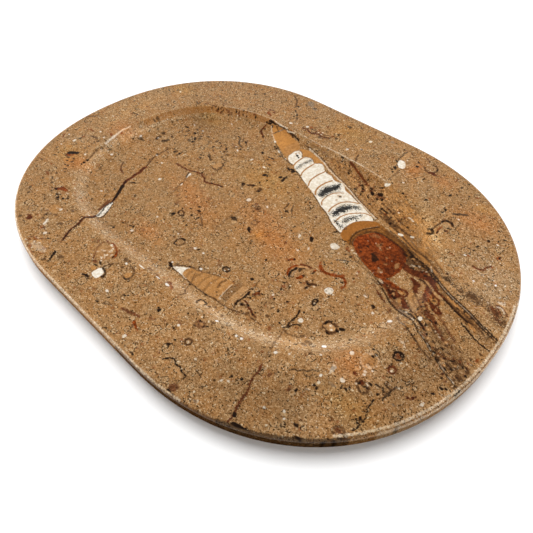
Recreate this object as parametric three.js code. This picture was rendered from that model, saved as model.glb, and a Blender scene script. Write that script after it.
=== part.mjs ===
// Plate cut and ground from one slab of orthoceras limestone: an oval slab with a shallow dish
// ground into its top, a rounded rim and an undercut that stands it on a smaller flat base.
// The stone is one piece, so the model is one solid. Its fossils are polished flush with the stone.
// Millimetres, +Z up. The origin is the middle of the base, and +X runs along the length.

import * as THREE from 'three';

const radians = THREE.MathUtils.degToRad;

// The slab: straight sides with a superelliptic end at each side (power 2 is an ellipse).
const SLAB = {
  length: 305,
  width: 227.6,
  endLength: 115.2,
  power: 2.16,
  centre: new THREE.Vector2(0, 0),
  turn: 0,
  taper: 0,
};
const THICKNESS = 15;

// The edge: an upright side with a rounded arris above it and an undercut below it.
const SIDE_HEIGHT = 6.8;
const TOP_ARRIS_RADIUS = 2;
const LOWER_ARRIS_RADIUS = 0.8;
const UNDERCUT = 12;

// The dish: a like oval, ground by hand a little off centre and narrower toward +X.
const DISH = {
  length: 233,
  width: 148.6,
  endLength: 83,
  power: 2.29,
  centre: new THREE.Vector2(-1, -2.7),
  turn: radians(0.7),
  taper: 0.055,
};
const DISH_DEPTH = 7.5;
const SHOULDER_RADIUS = 2;

// The wall's slope just under the shoulder. It eases toward one corner, where the cove is wider.
const STEEP_WALL = radians(49);
const GENTLE_WALL = radians(26);
const GENTLE_CORNER = radians(50);
const EASING_POWER = 4;

// Facets
const COLUMNS = 144;
const ARRIS_STEPS = 4;
const LOWER_ARRIS_STEPS = 2;
const SHOULDER_STEPS = 3;
const COVE_STEPS = 7;

// Shares of the way through an arc or a curve.
const shares = (count) => Array.from({ length: count + 1 }, (_, i) => i / count);

// Where a line that runs `inset` inside an oval stands, at one angle around the oval.
function pointInOval(oval, inset, z, angle) {
  const c = Math.cos(angle);
  const s = Math.sin(angle);
  const straight = oval.length / 2 - oval.endLength;
  const reach = (oval.endLength - inset) * Math.abs(c) ** (2 / oval.power);
  const x = Math.sign(c) * (straight + reach);
  const halfWidth = (oval.width / 2 - inset) * (1 - (oval.taper * x) / (oval.length / 2));
  const y = Math.sign(s) * halfWidth * Math.abs(s) ** (2 / oval.power);
  const flat = new THREE.Vector2(x, y).rotateAround(new THREE.Vector2(0, 0), oval.turn);
  return new THREE.Vector3(flat.x + oval.centre.x, flat.y + oval.centre.y, z);
}

// A ring gives the point of a closed line at each angle. The first and last are single points.
const slabRing = (inset, z) => (angle) => pointInOval(SLAB, inset, z, angle);
const singlePoint = (x, y, z) => () => new THREE.Vector3(x, y, z);

// From the base out to the lower arris, and round it to the side.
function undersideRings() {
  const sideFoot = THICKNESS - SIDE_HEIGHT;
  const arrisTurn = Math.PI / 2 - Math.atan2(sideFoot, UNDERCUT);
  const arcCentreZ = sideFoot + LOWER_ARRIS_RADIUS * Math.tan(arrisTurn / 2);
  const arris = shares(LOWER_ARRIS_STEPS).map((share) => {
    const angle = (1 - share) * arrisTurn;
    return slabRing(
      LOWER_ARRIS_RADIUS * (1 - Math.cos(angle)),
      arcCentreZ - LOWER_ARRIS_RADIUS * Math.sin(angle),
    );
  });
  return [slabRing(UNDERCUT, 0), ...arris];
}

// From the side round the top arris to the flat rim.
function topArrisRings() {
  return shares(ARRIS_STEPS).map((share) => {
    const angle = (share * Math.PI) / 2;
    return slabRing(
      TOP_ARRIS_RADIUS * (1 - Math.cos(angle)),
      THICKNESS - TOP_ARRIS_RADIUS * (1 - Math.sin(angle)),
    );
  });
}

function wallSlope(angle) {
  const easing = Math.max(0, Math.cos(angle - GENTLE_CORNER)) ** EASING_POWER;
  return STEEP_WALL + (GENTLE_WALL - STEEP_WALL) * easing;
}

// Part of the way round the shoulder, from the flat rim to the top of the cove.
const shoulderRing = (share) => (angle) => {
  const turned = share * wallSlope(angle);
  const inset = SHOULDER_RADIUS * Math.sin(turned);
  const drop = SHOULDER_RADIUS * (1 - Math.cos(turned));
  return pointInOval(DISH, inset, THICKNESS - drop, angle);
};

// Part of the way down the cove, a parabola that ends level at the floor.
const coveRing = (share) => (angle) => {
  const slope = wallSlope(angle);
  const shoulderDrop = SHOULDER_RADIUS * (1 - Math.cos(slope));
  const coveDrop = DISH_DEPTH - shoulderDrop;
  const coveWidth = (2 * coveDrop) / Math.tan(slope);
  const inset = SHOULDER_RADIUS * Math.sin(slope) + share * coveWidth;
  const z = THICKNESS - DISH_DEPTH + coveDrop * (1 - share) ** 2;
  return pointInOval(DISH, inset, z, angle);
};

// A lathe turns a plain section with as many points. Each column is then moved onto the rings.
// The columns stand half a step off the Y axis, so a straight side runs from column to column.
function skinOver(rings) {
  const lastRing = rings.length - 1;
  const section = rings.map((_, row) => new THREE.Vector2(row % lastRing === 0 ? 0 : 1, row));
  const geometry = new THREE.LatheGeometry(section, COLUMNS);
  const position = geometry.getAttribute('position');
  for (let column = 0; column <= COLUMNS; column += 1) {
    const angle = (2 * Math.PI * ((column % COLUMNS) + 0.5)) / COLUMNS;
    rings.forEach((pointAt, row) => {
      const point = pointAt(angle);
      position.setXYZ(column * rings.length + row, point.x, point.y, point.z);
    });
  }
  geometry.computeVertexNormals();
  return geometry;
}

const plateRings = [
  singlePoint(0, 0, 0),
  ...undersideRings(),
  ...topArrisRings(),
  ...shares(SHOULDER_STEPS).map(shoulderRing),
  ...shares(COVE_STEPS).slice(1).map(coveRing),
  singlePoint(DISH.centre.x, DISH.centre.y, THICKNESS - DISH_DEPTH),
];

const limestone = new THREE.MeshStandardMaterial({
  color: 0x9b7b52,
  roughness: 0.35,
  metalness: 0,
});

const plate = new THREE.Mesh(skinOver(plateRings), limestone);
plate.name = 'plate';

const part = new THREE.Group();
part.add(plate);

export default part;
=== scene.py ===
"""Orthoceras fossil plate: an oval slab of polished fossil limestone with a shallow dish."""

from collections.abc import Callable
from dataclasses import dataclass

import bpy
import numpy as np
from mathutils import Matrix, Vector
from mathutils.geometry import delaunay_2d_cdt
from mathutils.kdtree import KDTree


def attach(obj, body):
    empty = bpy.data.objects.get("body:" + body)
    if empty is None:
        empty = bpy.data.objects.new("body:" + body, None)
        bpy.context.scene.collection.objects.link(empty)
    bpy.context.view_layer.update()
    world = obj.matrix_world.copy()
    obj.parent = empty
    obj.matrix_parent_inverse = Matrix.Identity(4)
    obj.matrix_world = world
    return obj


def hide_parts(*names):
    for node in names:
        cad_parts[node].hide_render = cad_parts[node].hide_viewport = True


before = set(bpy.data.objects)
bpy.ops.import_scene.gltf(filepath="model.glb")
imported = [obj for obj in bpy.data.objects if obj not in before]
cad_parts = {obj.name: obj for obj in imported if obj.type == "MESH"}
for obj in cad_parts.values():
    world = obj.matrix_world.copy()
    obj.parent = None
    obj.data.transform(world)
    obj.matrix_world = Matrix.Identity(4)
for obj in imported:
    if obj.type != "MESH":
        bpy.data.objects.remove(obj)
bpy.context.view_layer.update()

MM = 0.001  # every size below is in millimetres


# ---------------------------------------------------------------- the slab, as the CAD has it

@dataclass(frozen=True)
class Oval:
    """Straight sides with a superelliptic end at each side."""

    length: float
    width: float
    end_length: float
    power: float
    centre: tuple = (0.0, 0.0)
    turn: float = 0.0
    taper: float = 0.0

    @property
    def straight(self):
        """Half the length of the straight sides."""
        return self.length / 2 - self.end_length


SLAB = Oval(length=305, width=227.6, end_length=115.2, power=2.16)
DISH = Oval(length=233, width=148.6, end_length=83, power=2.29,
            centre=(-1.0, -2.7), turn=np.radians(0.7), taper=0.055)

THICKNESS = 15.0
SIDE_HEIGHT = 6.8
TOP_ARRIS_RADIUS = 2.0
LOWER_ARRIS_RADIUS = 0.8
UNDERCUT = 12.0
DISH_DEPTH = 7.5
SHOULDER_RADIUS = 2.0
STEEP_WALL = np.radians(49)
GENTLE_WALL = np.radians(26)
GENTLE_CORNER = np.radians(50)
EASING_POWER = 4
CURVE_STEPS = 4001      # of the fine curve along which the places round an end are spread
BISECTIONS = 30


def oval_stations(oval, spacing):
    """Places about `spacing` apart round an oval: (shift, cosine part, sine part) of each."""
    angle = np.linspace(-np.pi / 2, np.pi / 2, CURVE_STEPS)
    end_x = oval.end_length * np.cos(angle).clip(0) ** (2 / oval.power)
    end_y = oval.width / 2 * np.sign(np.sin(angle)) * np.abs(np.sin(angle)) ** (2 / oval.power)
    run = np.r_[0, np.cumsum(np.hypot(np.diff(end_x), np.diff(end_y)))]
    end_count = max(8, round(run[-1] / spacing))
    picked = np.interp(np.linspace(0, run[-1], end_count + 1), run, angle)
    cosine = np.cos(picked).clip(0) ** (2 / oval.power)
    sine = np.sign(np.sin(picked)) * np.abs(np.sin(picked)) ** (2 / oval.power)
    straight_count = max(2, round(2 * oval.straight / spacing))
    along = np.linspace(1, -1, straight_count + 1)[1:-1]
    right = np.c_[np.ones_like(cosine), cosine, sine]
    top = np.c_[along, np.zeros_like(along), np.ones_like(along)]
    return np.vstack([right, top, -right, -top])


def oval_points(oval, inset, stations):
    """The (x, y) of a line `inset` inside an oval, at its stations."""
    shift, cosine, sine = stations.T
    x = shift * oval.straight + (oval.end_length - inset) * cosine
    y = (oval.width / 2 - inset) * (1 - oval.taper * x / (oval.length / 2)) * sine
    c, s = np.cos(oval.turn), np.sin(oval.turn)
    return np.c_[x * c - y * s + oval.centre[0], x * s + y * c + oval.centre[1]]


def inset_and_angle(oval, points):
    """How far inside an oval each point lies, and its angle around the oval."""
    c, s = np.cos(oval.turn), np.sin(oval.turn)
    dx, dy = points[:, 0] - oval.centre[0], points[:, 1] - oval.centre[1]
    x, y = dx * c + dy * s, dy * c - dx * s
    across = np.abs(y) / (1 - oval.taper * x / (oval.length / 2))
    beyond = (np.abs(x) - oval.straight).clip(0)
    low, high = np.full(len(x), -oval.width), np.full(len(x), oval.width / 2 - 1e-3)
    for _ in range(BISECTIONS):
        middle = (low + high) / 2
        level = (beyond / (oval.end_length - middle)) ** oval.power
        level += (across / (oval.width / 2 - middle)) ** oval.power
        low, high = np.where(level < 1, middle, low), np.where(level < 1, high, middle)
    half_power = oval.power / 2
    cosine = (beyond / (oval.end_length - low)) ** half_power * np.sign(x)
    sine = (across / (oval.width / 2 - low)) ** half_power * np.sign(y)
    return low, np.arctan2(sine, cosine)


def dish_height(points):
    """Height of the plate's upper face: the flat rim, the shoulder, the cove and the floor."""
    inset, angle = inset_and_angle(DISH, points)
    easing = np.cos(angle - GENTLE_CORNER).clip(0) ** EASING_POWER
    slope = STEEP_WALL + (GENTLE_WALL - STEEP_WALL) * easing
    shoulder_width = SHOULDER_RADIUS * np.sin(slope)
    cove_drop = DISH_DEPTH - SHOULDER_RADIUS * (1 - np.cos(slope))
    cove_width = 2 * cove_drop / np.tan(slope)
    on_shoulder = inset.clip(0, shoulder_width)
    shoulder_drop = SHOULDER_RADIUS - np.sqrt(SHOULDER_RADIUS**2 - on_shoulder**2)
    share = ((inset - shoulder_width) / cove_width).clip(0, 1)
    return THICKNESS - shoulder_drop - cove_drop * (1 - (1 - share) ** 2)


# ---------------------------------------------------------------- marks on the upper face

MARK_REACH = 4.0        # how far from a mark its distance is kept
NO_MARK = (MARK_REACH, 0.0, 0.0)
KINDS = ("dusk", "strata", "ochre", "amber", "bronze", "umber", "brick", "rust", "buff",
         "calcite", "tan", "grey", "pepper", "black_and_dark_reflection", "cream")
NO_POINTS = np.zeros((0, 2))
TINY = 1e-4

PATH_SPACING = 0.8      # between the points of a line
KINK_SHARE = 0.7        # share of a line's jag that goes each way
LINE_MARGIN = 0.25      # from a line's edge to the mesh points beside it
DASH_STEP = 0.5         # between the points of a broken line
SMALL_SPOT = 2.6        # half the length of the largest spot that gets mesh points of its own
SPOT_RINGS = (0.0, 0.5)             # rings of mesh points, outward from a spot's edge
RIM_RINGS = (-0.45, 0.0, 0.45)      # and from the edge of one that is only an outline
RING_POINTS = 10
CRUMB_KINDS = ("black_and_dark_reflection", "umber", "rust", "buff")


@dataclass
class Mark:
    """One patch or stroke of colour: `edge` gives the distance outside it, below 0 within."""

    kind: str
    amount: float
    low: np.ndarray
    high: np.ndarray
    edge: Callable
    mesh_points: np.ndarray


MARKS = []
CLOUDS = []


def smooth_path(points, spacing, closed=False):
    """A Catmull-Rom curve through the points, resampled at about `spacing`."""
    corners = np.array(points, float)
    if closed:
        corners = np.vstack([corners[-1], corners, corners[:2]])
    else:
        corners = np.vstack([2 * corners[0] - corners[1], corners, 2 * corners[-1] - corners[-2]])
    share = np.linspace(0, 1, 12, endpoint=False)[:, None]
    pieces = []
    for a, b, c, d in zip(corners, corners[1:], corners[2:], corners[3:]):
        pieces.append(0.5 * (2 * b + (c - a) * share + (2 * a - 5 * b + 4 * c - d) * share**2
                             + (3 * b - a - 3 * c + d) * share**3))
    curve = np.vstack(pieces + [corners[-2:-1]])
    run = np.r_[0, np.cumsum(np.hypot(*np.diff(curve, axis=0).T))]
    count = max(3, round(run[-1] / spacing))
    even = np.linspace(0, run[-1], count + 1)
    return np.c_[np.interp(even, run, curve[:, 0]), np.interp(even, run, curve[:, 1])]


def nearest_on_path(points, path):
    """Distance from each point to a path, and how far along it (0..1) the nearest place is."""
    start, step = path[:-1], np.diff(path, axis=0)
    away = points[:, None] - start
    share = ((away * step).sum(2) / (step**2).sum(1)).clip(0, 1)
    distance = np.hypot(*np.moveaxis(away - share[..., None] * step, 2, 0))
    nearest = distance.argmin(1)
    rows = np.arange(len(points))
    return distance[rows, nearest], (nearest + share[rows, nearest]) / len(step)


def along_path(kind, amount, path, edge, mesh_points):
    """Keep a mark that lies along or inside a path."""
    low, high = path.min(0) - MARK_REACH, path.max(0) + MARK_REACH
    MARKS.append(Mark(kind, amount, low, high, edge, mesh_points))


def spot(kind, x, y, length, width=None, turn=0, amount=1.0, rim=None):
    """An oval patch, or only its outline where a `rim` width is given."""
    half = np.array([length, length if width is None else width]) / 2
    c, s = np.cos(np.radians(turn)), np.sin(np.radians(turn))

    def edge(points):
        """Distance outside the oval or its outline."""
        dx, dy = points[:, 0] - x, points[:, 1] - y
        reach = np.hypot((dx * c + dy * s) / half[0], (dy * c - dx * s) / half[1]) + TINY
        outside = (np.hypot(dx, dy) + TINY * half.min()) * (1 - 1 / reach)
        return outside if rim is None else np.abs(outside) - rim / 2

    around = np.linspace(0, 2 * np.pi, RING_POINTS + 1)[:-1, None]
    turned = np.array([[c, s], [-s, c]])
    mesh_points = [np.array([[x, y]])]
    for grown in SPOT_RINGS if rim is None else RIM_RINGS:
        ring = np.hstack([np.cos(around), np.sin(around)]) * (half + grown).clip(0.1)
        mesh_points.append(ring @ turned + (x, y))
    wanted = np.vstack(mesh_points) if half.max() < SMALL_SPOT else NO_POINTS
    size = half.max() + MARK_REACH
    MARKS.append(Mark(kind, amount, np.array([x, y]) - size, np.array([x, y]) + size, edge, wanted))


def spots(kind, *places, amount=1.0):
    """Several oval patches, each (x, y, length, width, turn) with the last two optional."""
    for place in places:
        spot(kind, *place, amount=amount)


def kinks(x, y):
    """An uneven swing from side to side: a wave with a shorter one across it."""
    return np.sin(1.7 * x + 1.1 * y) + 0.6 * np.sin(3.9 * y - 2.3 * x)


def line(kind, width, *points, end=None, amount=1.0, closed=False, jag=0.0):
    """A stroke through the points, tapering to the width `end` and kinked by about `jag` mm."""
    path = smooth_path(points, PATH_SPACING, closed)
    path = path + jag * kinks(*path.T)[:, None] * KINK_SHARE
    last = width if end is None else end

    def edge(near):
        """Distance outside the tapering stroke."""
        distance, along = nearest_on_path(near, path)
        return distance - (width + (last - width) * along) / 2

    step = np.gradient(path, axis=0)
    normal = np.c_[-step[:, 1], step[:, 0]] / np.hypot(*step.T)[:, None]
    side = LINE_MARGIN + width / 2
    along_path(kind, amount, path, edge,
               np.vstack([path, path + normal * side, path - normal * side]))


def crack(kind, width, *points, jag=0.45, **look):
    """A stroke that kinks as a crack in stone does."""
    line(kind, width, *points, jag=jag, **look)


def crumble(seed, count, x, y, length, width, turn):
    """Loose crumbs, 0.6 to 1.8 mm long, strewn over an oval patch and thinning out at its edge."""
    random = np.random.default_rng(seed)
    c, s = np.cos(np.radians(turn)), np.sin(np.radians(turn))
    for number in range(count):
        place = random.uniform(-0.5, 0.5, 2) + random.uniform(-0.5, 0.5, 2)
        along, across = place * (length, width) / 2
        size = random.uniform(0.6, 1.8)
        spot(CRUMB_KINDS[number % len(CRUMB_KINDS)],
             x + along * c - across * s, y + along * s + across * c, size,
             size * random.uniform(0.4, 0.8), random.uniform(0, 180), random.uniform(0.7, 1.0))


def dashes(kind, width, path, length, gap, amount=1.0):
    """A broken line: dashes of `length` mm, `gap` mm apart, along a smooth path."""
    points = smooth_path(path, DASH_STEP)
    for start in range(0, len(points) - 1, round((length + gap) / DASH_STEP)):
        piece = points[start:start + round(length / DASH_STEP) + 1]
        if len(piece) > 1:
            line(kind, width, *map(tuple, piece), amount=amount)


def area(kind, *points, amount=1.0):
    """A patch inside a smooth closed outline."""
    path = smooth_path(points, 1.0, closed=True)

    def edge(near):
        """Distance outside the outline, below 0 where it goes round the point."""
        distance, _ = nearest_on_path(near, path)
        x, y = near[:, :1], near[:, 1:]
        x0, y0, x1, y1 = path[:-1, 0], path[:-1, 1], path[1:, 0], path[1:, 1]
        rise = np.where(y1 == y0, 1e-9, y1 - y0)
        crossing = ((y0 > y) != (y1 > y)) & (x < x0 + (y - y0) / rise * (x1 - x0))
        return np.where(crossing.sum(1) % 2 == 1, -distance, distance)

    along_path(kind, amount, path, edge, NO_POINTS)


def cloud(gain, x, y, length, width, turn=0):
    """A soft change of tone: the stone's colour is multiplied by `gain` at its middle."""
    CLOUDS.append((gain, x, y, length, width, turn))


def soft_oval(points, x, y, length, width, turn):
    """The share of a soft oval patch at each point: 1 at its middle, fading to 0 around it."""
    dx, dy = points[:, 0] - x, points[:, 1] - y
    turn = np.radians(turn)
    u = (dx * np.cos(turn) + dy * np.sin(turn)) / (length / 2)
    v = (dy * np.cos(turn) - dx * np.sin(turn)) / (width / 2)
    return np.exp(-(u**2 + v**2))


def paint(points):
    """For each kind, every point's distance (mm) outside the marks and the nearest's amount."""
    layers = {kind: np.tile(NO_MARK, (len(points), 1)) for kind in KINDS}
    for mark in MARKS:
        near = np.where(((points > mark.low) & (points < mark.high)).all(1))[0]
        if not len(near):
            continue
        edge = mark.edge(points[near])
        layer = layers[mark.kind]
        closer = edge < layer[near, 0]
        layer[near[closer], 0] = edge[closer]
        layer[near[closer], 1] = mark.amount
    return layers


def tone_and_painted_light(points):
    """The broad clouds of tone, with the painted sheen and shade among them, as a gain for red,
    green and blue at each point.
    """
    gains = np.ones((len(points), 3))
    for gain, *patch in CLOUDS:
        gains *= 1 + soft_oval(points, *patch)[:, None] * (np.array(gain) - 1)
    return gains


# Every place below is (x, y) in plate millimetres on the upper face.

def fossil_tip():
    """The main fossil's tip: an ochre cone with a brown band and a dark end."""
    area("ochre", (-47, 68.3), (-44, 69.3), (-38, 69.5), (-32, 68.8), (-26, 67.4), (-20.5, 66.4),
         (-17.5, 63.5), (-19.5, 60), (-20, 56), (-21, 53), (-26, 55.5), (-31, 57.7), (-36.5, 59.7),
         (-41, 62.4), (-45, 65.4))
    area("tan", (-22.9, 66.6), (-25.7, 63.2), (-26.8, 60.2), (-25.6, 56.6), (-21, 53.6),
         (-19.6, 57), (-19.8, 60), (-18, 63.8), (-20.5, 66.3), amount=0.6)
    line("grey", 0.7, (-37.8, 69.2), (-39.8, 67.4), (-41.6, 66), (-42.6, 64.6))
    line("black_and_dark_reflection", 0.6, (-43.6, 69), (-41.6, 68), (-40.4, 66.8), (-42.2, 65.2), amount=0.7)
    line("cream", 0.6, (-47.6, 67.8), (-44.4, 65), (-41.4, 63), (-36.6, 60), amount=0.8)
    line("black_and_dark_reflection", 1.5, (-51.2, 69.9), (-49, 70.2), (-46, 70.1), end=0.8)
    spots("black_and_dark_reflection", (-52.6, 68.4, 1.6, 1.2), (-49.8, 68.9, 3.2, 1.4, 20), (-46.9, 68, 1.6, 1, -40))
    line("black_and_dark_reflection", 0.8, (-46, 70.1), (-41, 70.4), (-36, 70.3), (-31, 69.6), (-26, 68.8),
         (-21.5, 67.9))
    line("cream", 0.7, (-47, 71.3), (-43.5, 70.9), (-38, 70.9), (-35.2, 70.8))
    line("cream", 0.6, (-34.6, 69.9), (-32.4, 69.6), (-30, 70.2), (-27.6, 70.2))
    line("umber", 0.7, (-33, 69.2), (-30, 69), (-27, 68))
    line("black_and_dark_reflection", 0.7, (-35.7, 59.4), (-32, 57.2), (-28.5, 55.2), (-25, 53.2), (-21, 50.9),
         (-16, 50), (-11, 48.8), amount=0.75)
    spots("black_and_dark_reflection", (-33.4, 56, 2.2, 1, -20), (-31, 55.2, 1.4, 2, 20), (-23, 50.6, 1.5, 1))
    spots("calcite", (-36.6, 60, 2.4, 1.4, -20), (-27.2, 54, 2.8, 1.6, -25),
          (-28.6, 54.9, 1.2, 0.9), (-18.6, 51, 1.4, 1))


def white_chambers():
    """The main fossil's white chambers, from the first small one to the crescent."""
    area("calcite", (-17.9, 61.5), (-15.6, 62.2), (-13.2, 61.5), (-12, 59.7), (-10.6, 59.2),
         (-8.5, 60.7), (-5, 61.5), (-2.2, 60.2), (-0.6, 59.3), (2.6, 61.3), (5.8, 61.1), (9, 58.6),
         (12.2, 57.4), (15.6, 57.5), (18.4, 55.7), (21.6, 55.5), (24.8, 56.5), (28, 54.9),
         (30.8, 52.3), (35, 51.4), (39.4, 49.7), (43.8, 48.6), (48, 47.6), (51.6, 45.8),
         (54.6, 44.8), (57.4, 43.2), (59.4, 41.6), (56.4, 39.2), (53.6, 36.3), (51.5, 32.7),
         (50.6, 28.4), (50.4, 24.1), (51.3, 20.7), (46.4, 22.1), (42.1, 23.9), (37.9, 26.7),
         (32.9, 29.2), (28.6, 30.7), (23.6, 33.5), (18.6, 36), (12.9, 38.5), (9.3, 40), (4.3, 42.1),
         (0, 44.6), (-3.6, 46), (-7.9, 47.5), (-11, 50), (-13.6, 50), (-16.4, 51.4), (-18.7, 53.9),
         (-19.4, 56.8), (-19, 59.6))
    area("ochre", (-18.4, 56.2), (-17.6, 53.6), (-14.6, 52), (-11.2, 52.6), (-11.2, 54.9),
         (-14.8, 54.6))
    spots("black_and_dark_reflection", (-14.9, 58.6, 2.4, 1.4, -25), (-13.2, 57.8, 1.8, 0.7, -20))
    spots("tan", (-15.3, 61.1, 2.2, 0.8), (-16.8, 59.4, 1, 1.6))
    area("ochre", (-16.8, 63.9), (-10, 65.2), (-3, 64.3), (3, 63.6), (8.4, 62.2), (9.6, 60.6),
         (6.8, 61.6), (2.6, 61.9), (-0.8, 60.2), (-4.8, 62.1), (-8.8, 61.4), (-11.2, 60.2),
         (-13, 62.2), (-15.6, 63))
    area("tan", (9, 61.6), (14, 60), (20, 57.9), (26, 55.9), (31, 54.2), (36, 52.3), (35, 51.5),
         (30.6, 52.5), (27.8, 55.1), (24.8, 56.7), (21.4, 55.8), (18.6, 56.1), (15.6, 57.9),
         (12.4, 57.9), amount=0.85)
    line("cream", 0.8, (-11, 66.4), (-4, 65.1), (2, 63.6), (7, 62.2), (9.6, 60.9), (14, 59.8),
         (18.6, 58.4), (25, 56.8), (30.7, 55), (35.7, 53), (41.4, 50.4), (46.4, 48.7), (51.4, 46.9),
         (55.7, 45.4), (59.3, 44), amount=0.85)
    line("umber", 0.6, (-16, 67.2), (-10, 66.9), (-4, 65.7), (2, 64.3), (8, 62.5), (14, 60.6),
         (19, 59.2), (25.4, 57.6), (31, 55.8), (36, 53.8), (41.8, 51.2), (46.8, 49.4), (52, 47.5),
         (56, 46.1), (60, 44.8), amount=0.8)
    line("umber", 0.5, (29, 54.6), (34, 52.7), (39, 50.5), (43, 49.2), (47, 48), amount=0.8)


def septa():
    """The brown septa between the white chambers."""
    line("tan", 1.1, (-10.4, 60), (-10.9, 56.5), (-10.8, 53), (-10.2, 50.2), (-9.2, 48.2))
    line("tan", 1, (-0.7, 59), (-1.5, 54.5), (-1.3, 49.4), (-0.4, 46.4), (0.6, 44.4))
    line("tan", 1, (9.6, 58.2), (8.3, 53.4), (7.9, 48.4), (8.5, 44.2), (10.6, 40))
    line("tan", 1.2, (18.6, 54.4), (17, 50.2), (16.3, 45.5), (16.6, 41.6), (17.6, 38.9),
         (19.4, 36.4))
    line("tan", 0.8, (31.4, 49.8), (28, 46.6), (26.2, 43.2), (25.7, 39.2), (26.2, 34.8),
         (28.4, 31.6))
    line("grey", 0.7, (30.2, 50.3), (27, 47.2), (25.3, 43.4), (24.9, 39.2), amount=0.7)
    line("tan", 1, (43.8, 48.3), (40.8, 46.8), (38, 44.7), (35.8, 41.9), (34.6, 37.8), (34.3, 33.4),
         (35.2, 29.8))
    line("tan", 0.9, (55.6, 44.3), (51.6, 43.3), (48.2, 40.4), (45.2, 36.7), (43.4, 32.4),
         (43, 28.6), (43.6, 24.8))
    line("umber", 0.5, (54, 44.6), (50.6, 42.7), (47, 39.9), (44.2, 36.4), amount=0.6)


def chamber_growths():
    """Dark growths inside some of the chambers."""
    line("pepper", 1.6, (-4.3, 60.2), (-5.6, 57), (-6.3, 53), (-6.2, 49), end=1, amount=0.8)
    line("grey", 1, (-5.2, 60), (-6.8, 55.6), (-7, 52), amount=0.6)
    spots("black_and_dark_reflection", (-6.6, 45, 5, 1.4), (-6, 43.8, 2, 2.2), (-9, 44.4, 1.6, 0.9, 30),
          (-3.6, 45.4, 3, 0.8, -20))
    area("pepper", (24.2, 55.4), (25.6, 53.8), (26.8, 51.8), (26.9, 49.8), (25.6, 47.4), (25, 44),
         (24.3, 41), (24.2, 38.2), (22, 37), (20.2, 38.4), (19.4, 41), (19.2, 44), (19, 46.4),
         (20.8, 49), (21.8, 51.6), (23.2, 53.6))
    spot("tan", 23.9, 48.4, 1.6, 1.6, amount=0.8)
    spots("black_and_dark_reflection", (31.8, 45.4, 1.4, 1.2), (24.6, 54.6, 1.2, 1))
    spots("tan", (31, 45.8, 2.8, 2.6), (32, 41.4, 1.6, 2.2, 20), (33.6, 46.8, 1.2, 1),
          (27.2, 51.6, 1.2, 1), amount=0.6)
    area("pepper", (46, 46), (47.6, 44.4), (45, 42.8), (43.4, 40.4), (42.6, 37.6), (41.4, 34),
         (40.9, 30.2), (38.4, 28.6), (36.8, 31), (37.2, 35.4), (37.9, 39.6), (40, 42.6), (43, 44.4))
    area("pepper", (50.2, 37.9), (51.2, 36.2), (49.4, 34), (48.6, 30.6), (47.4, 28), (46.3, 29.8),
         (45.8, 32.6), (47.2, 35.2), amount=0.95)
    spots("pepper", (45.2, 25.2, 2, 1.4), (48.4, 24.6, 1.6, 2.4), (50.6, 25.8, 1, 2),
          (43.2, 26.4, 1, 1.6), (51.4, 40.6, 2, 1, 40))
    line("black_and_dark_reflection", 0.6, (-3.6, 45.6), (0, 44), (4.3, 41.8), (9.3, 39.6), amount=0.5)
    line("umber", 0.6, (18.6, 35.6), (23.6, 33.1), (28.6, 30.2), (32.9, 28.8), (37.9, 26.2),
         (42.1, 23.4), (46.4, 21.6), (51.4, 20), amount=0.8)


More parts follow.
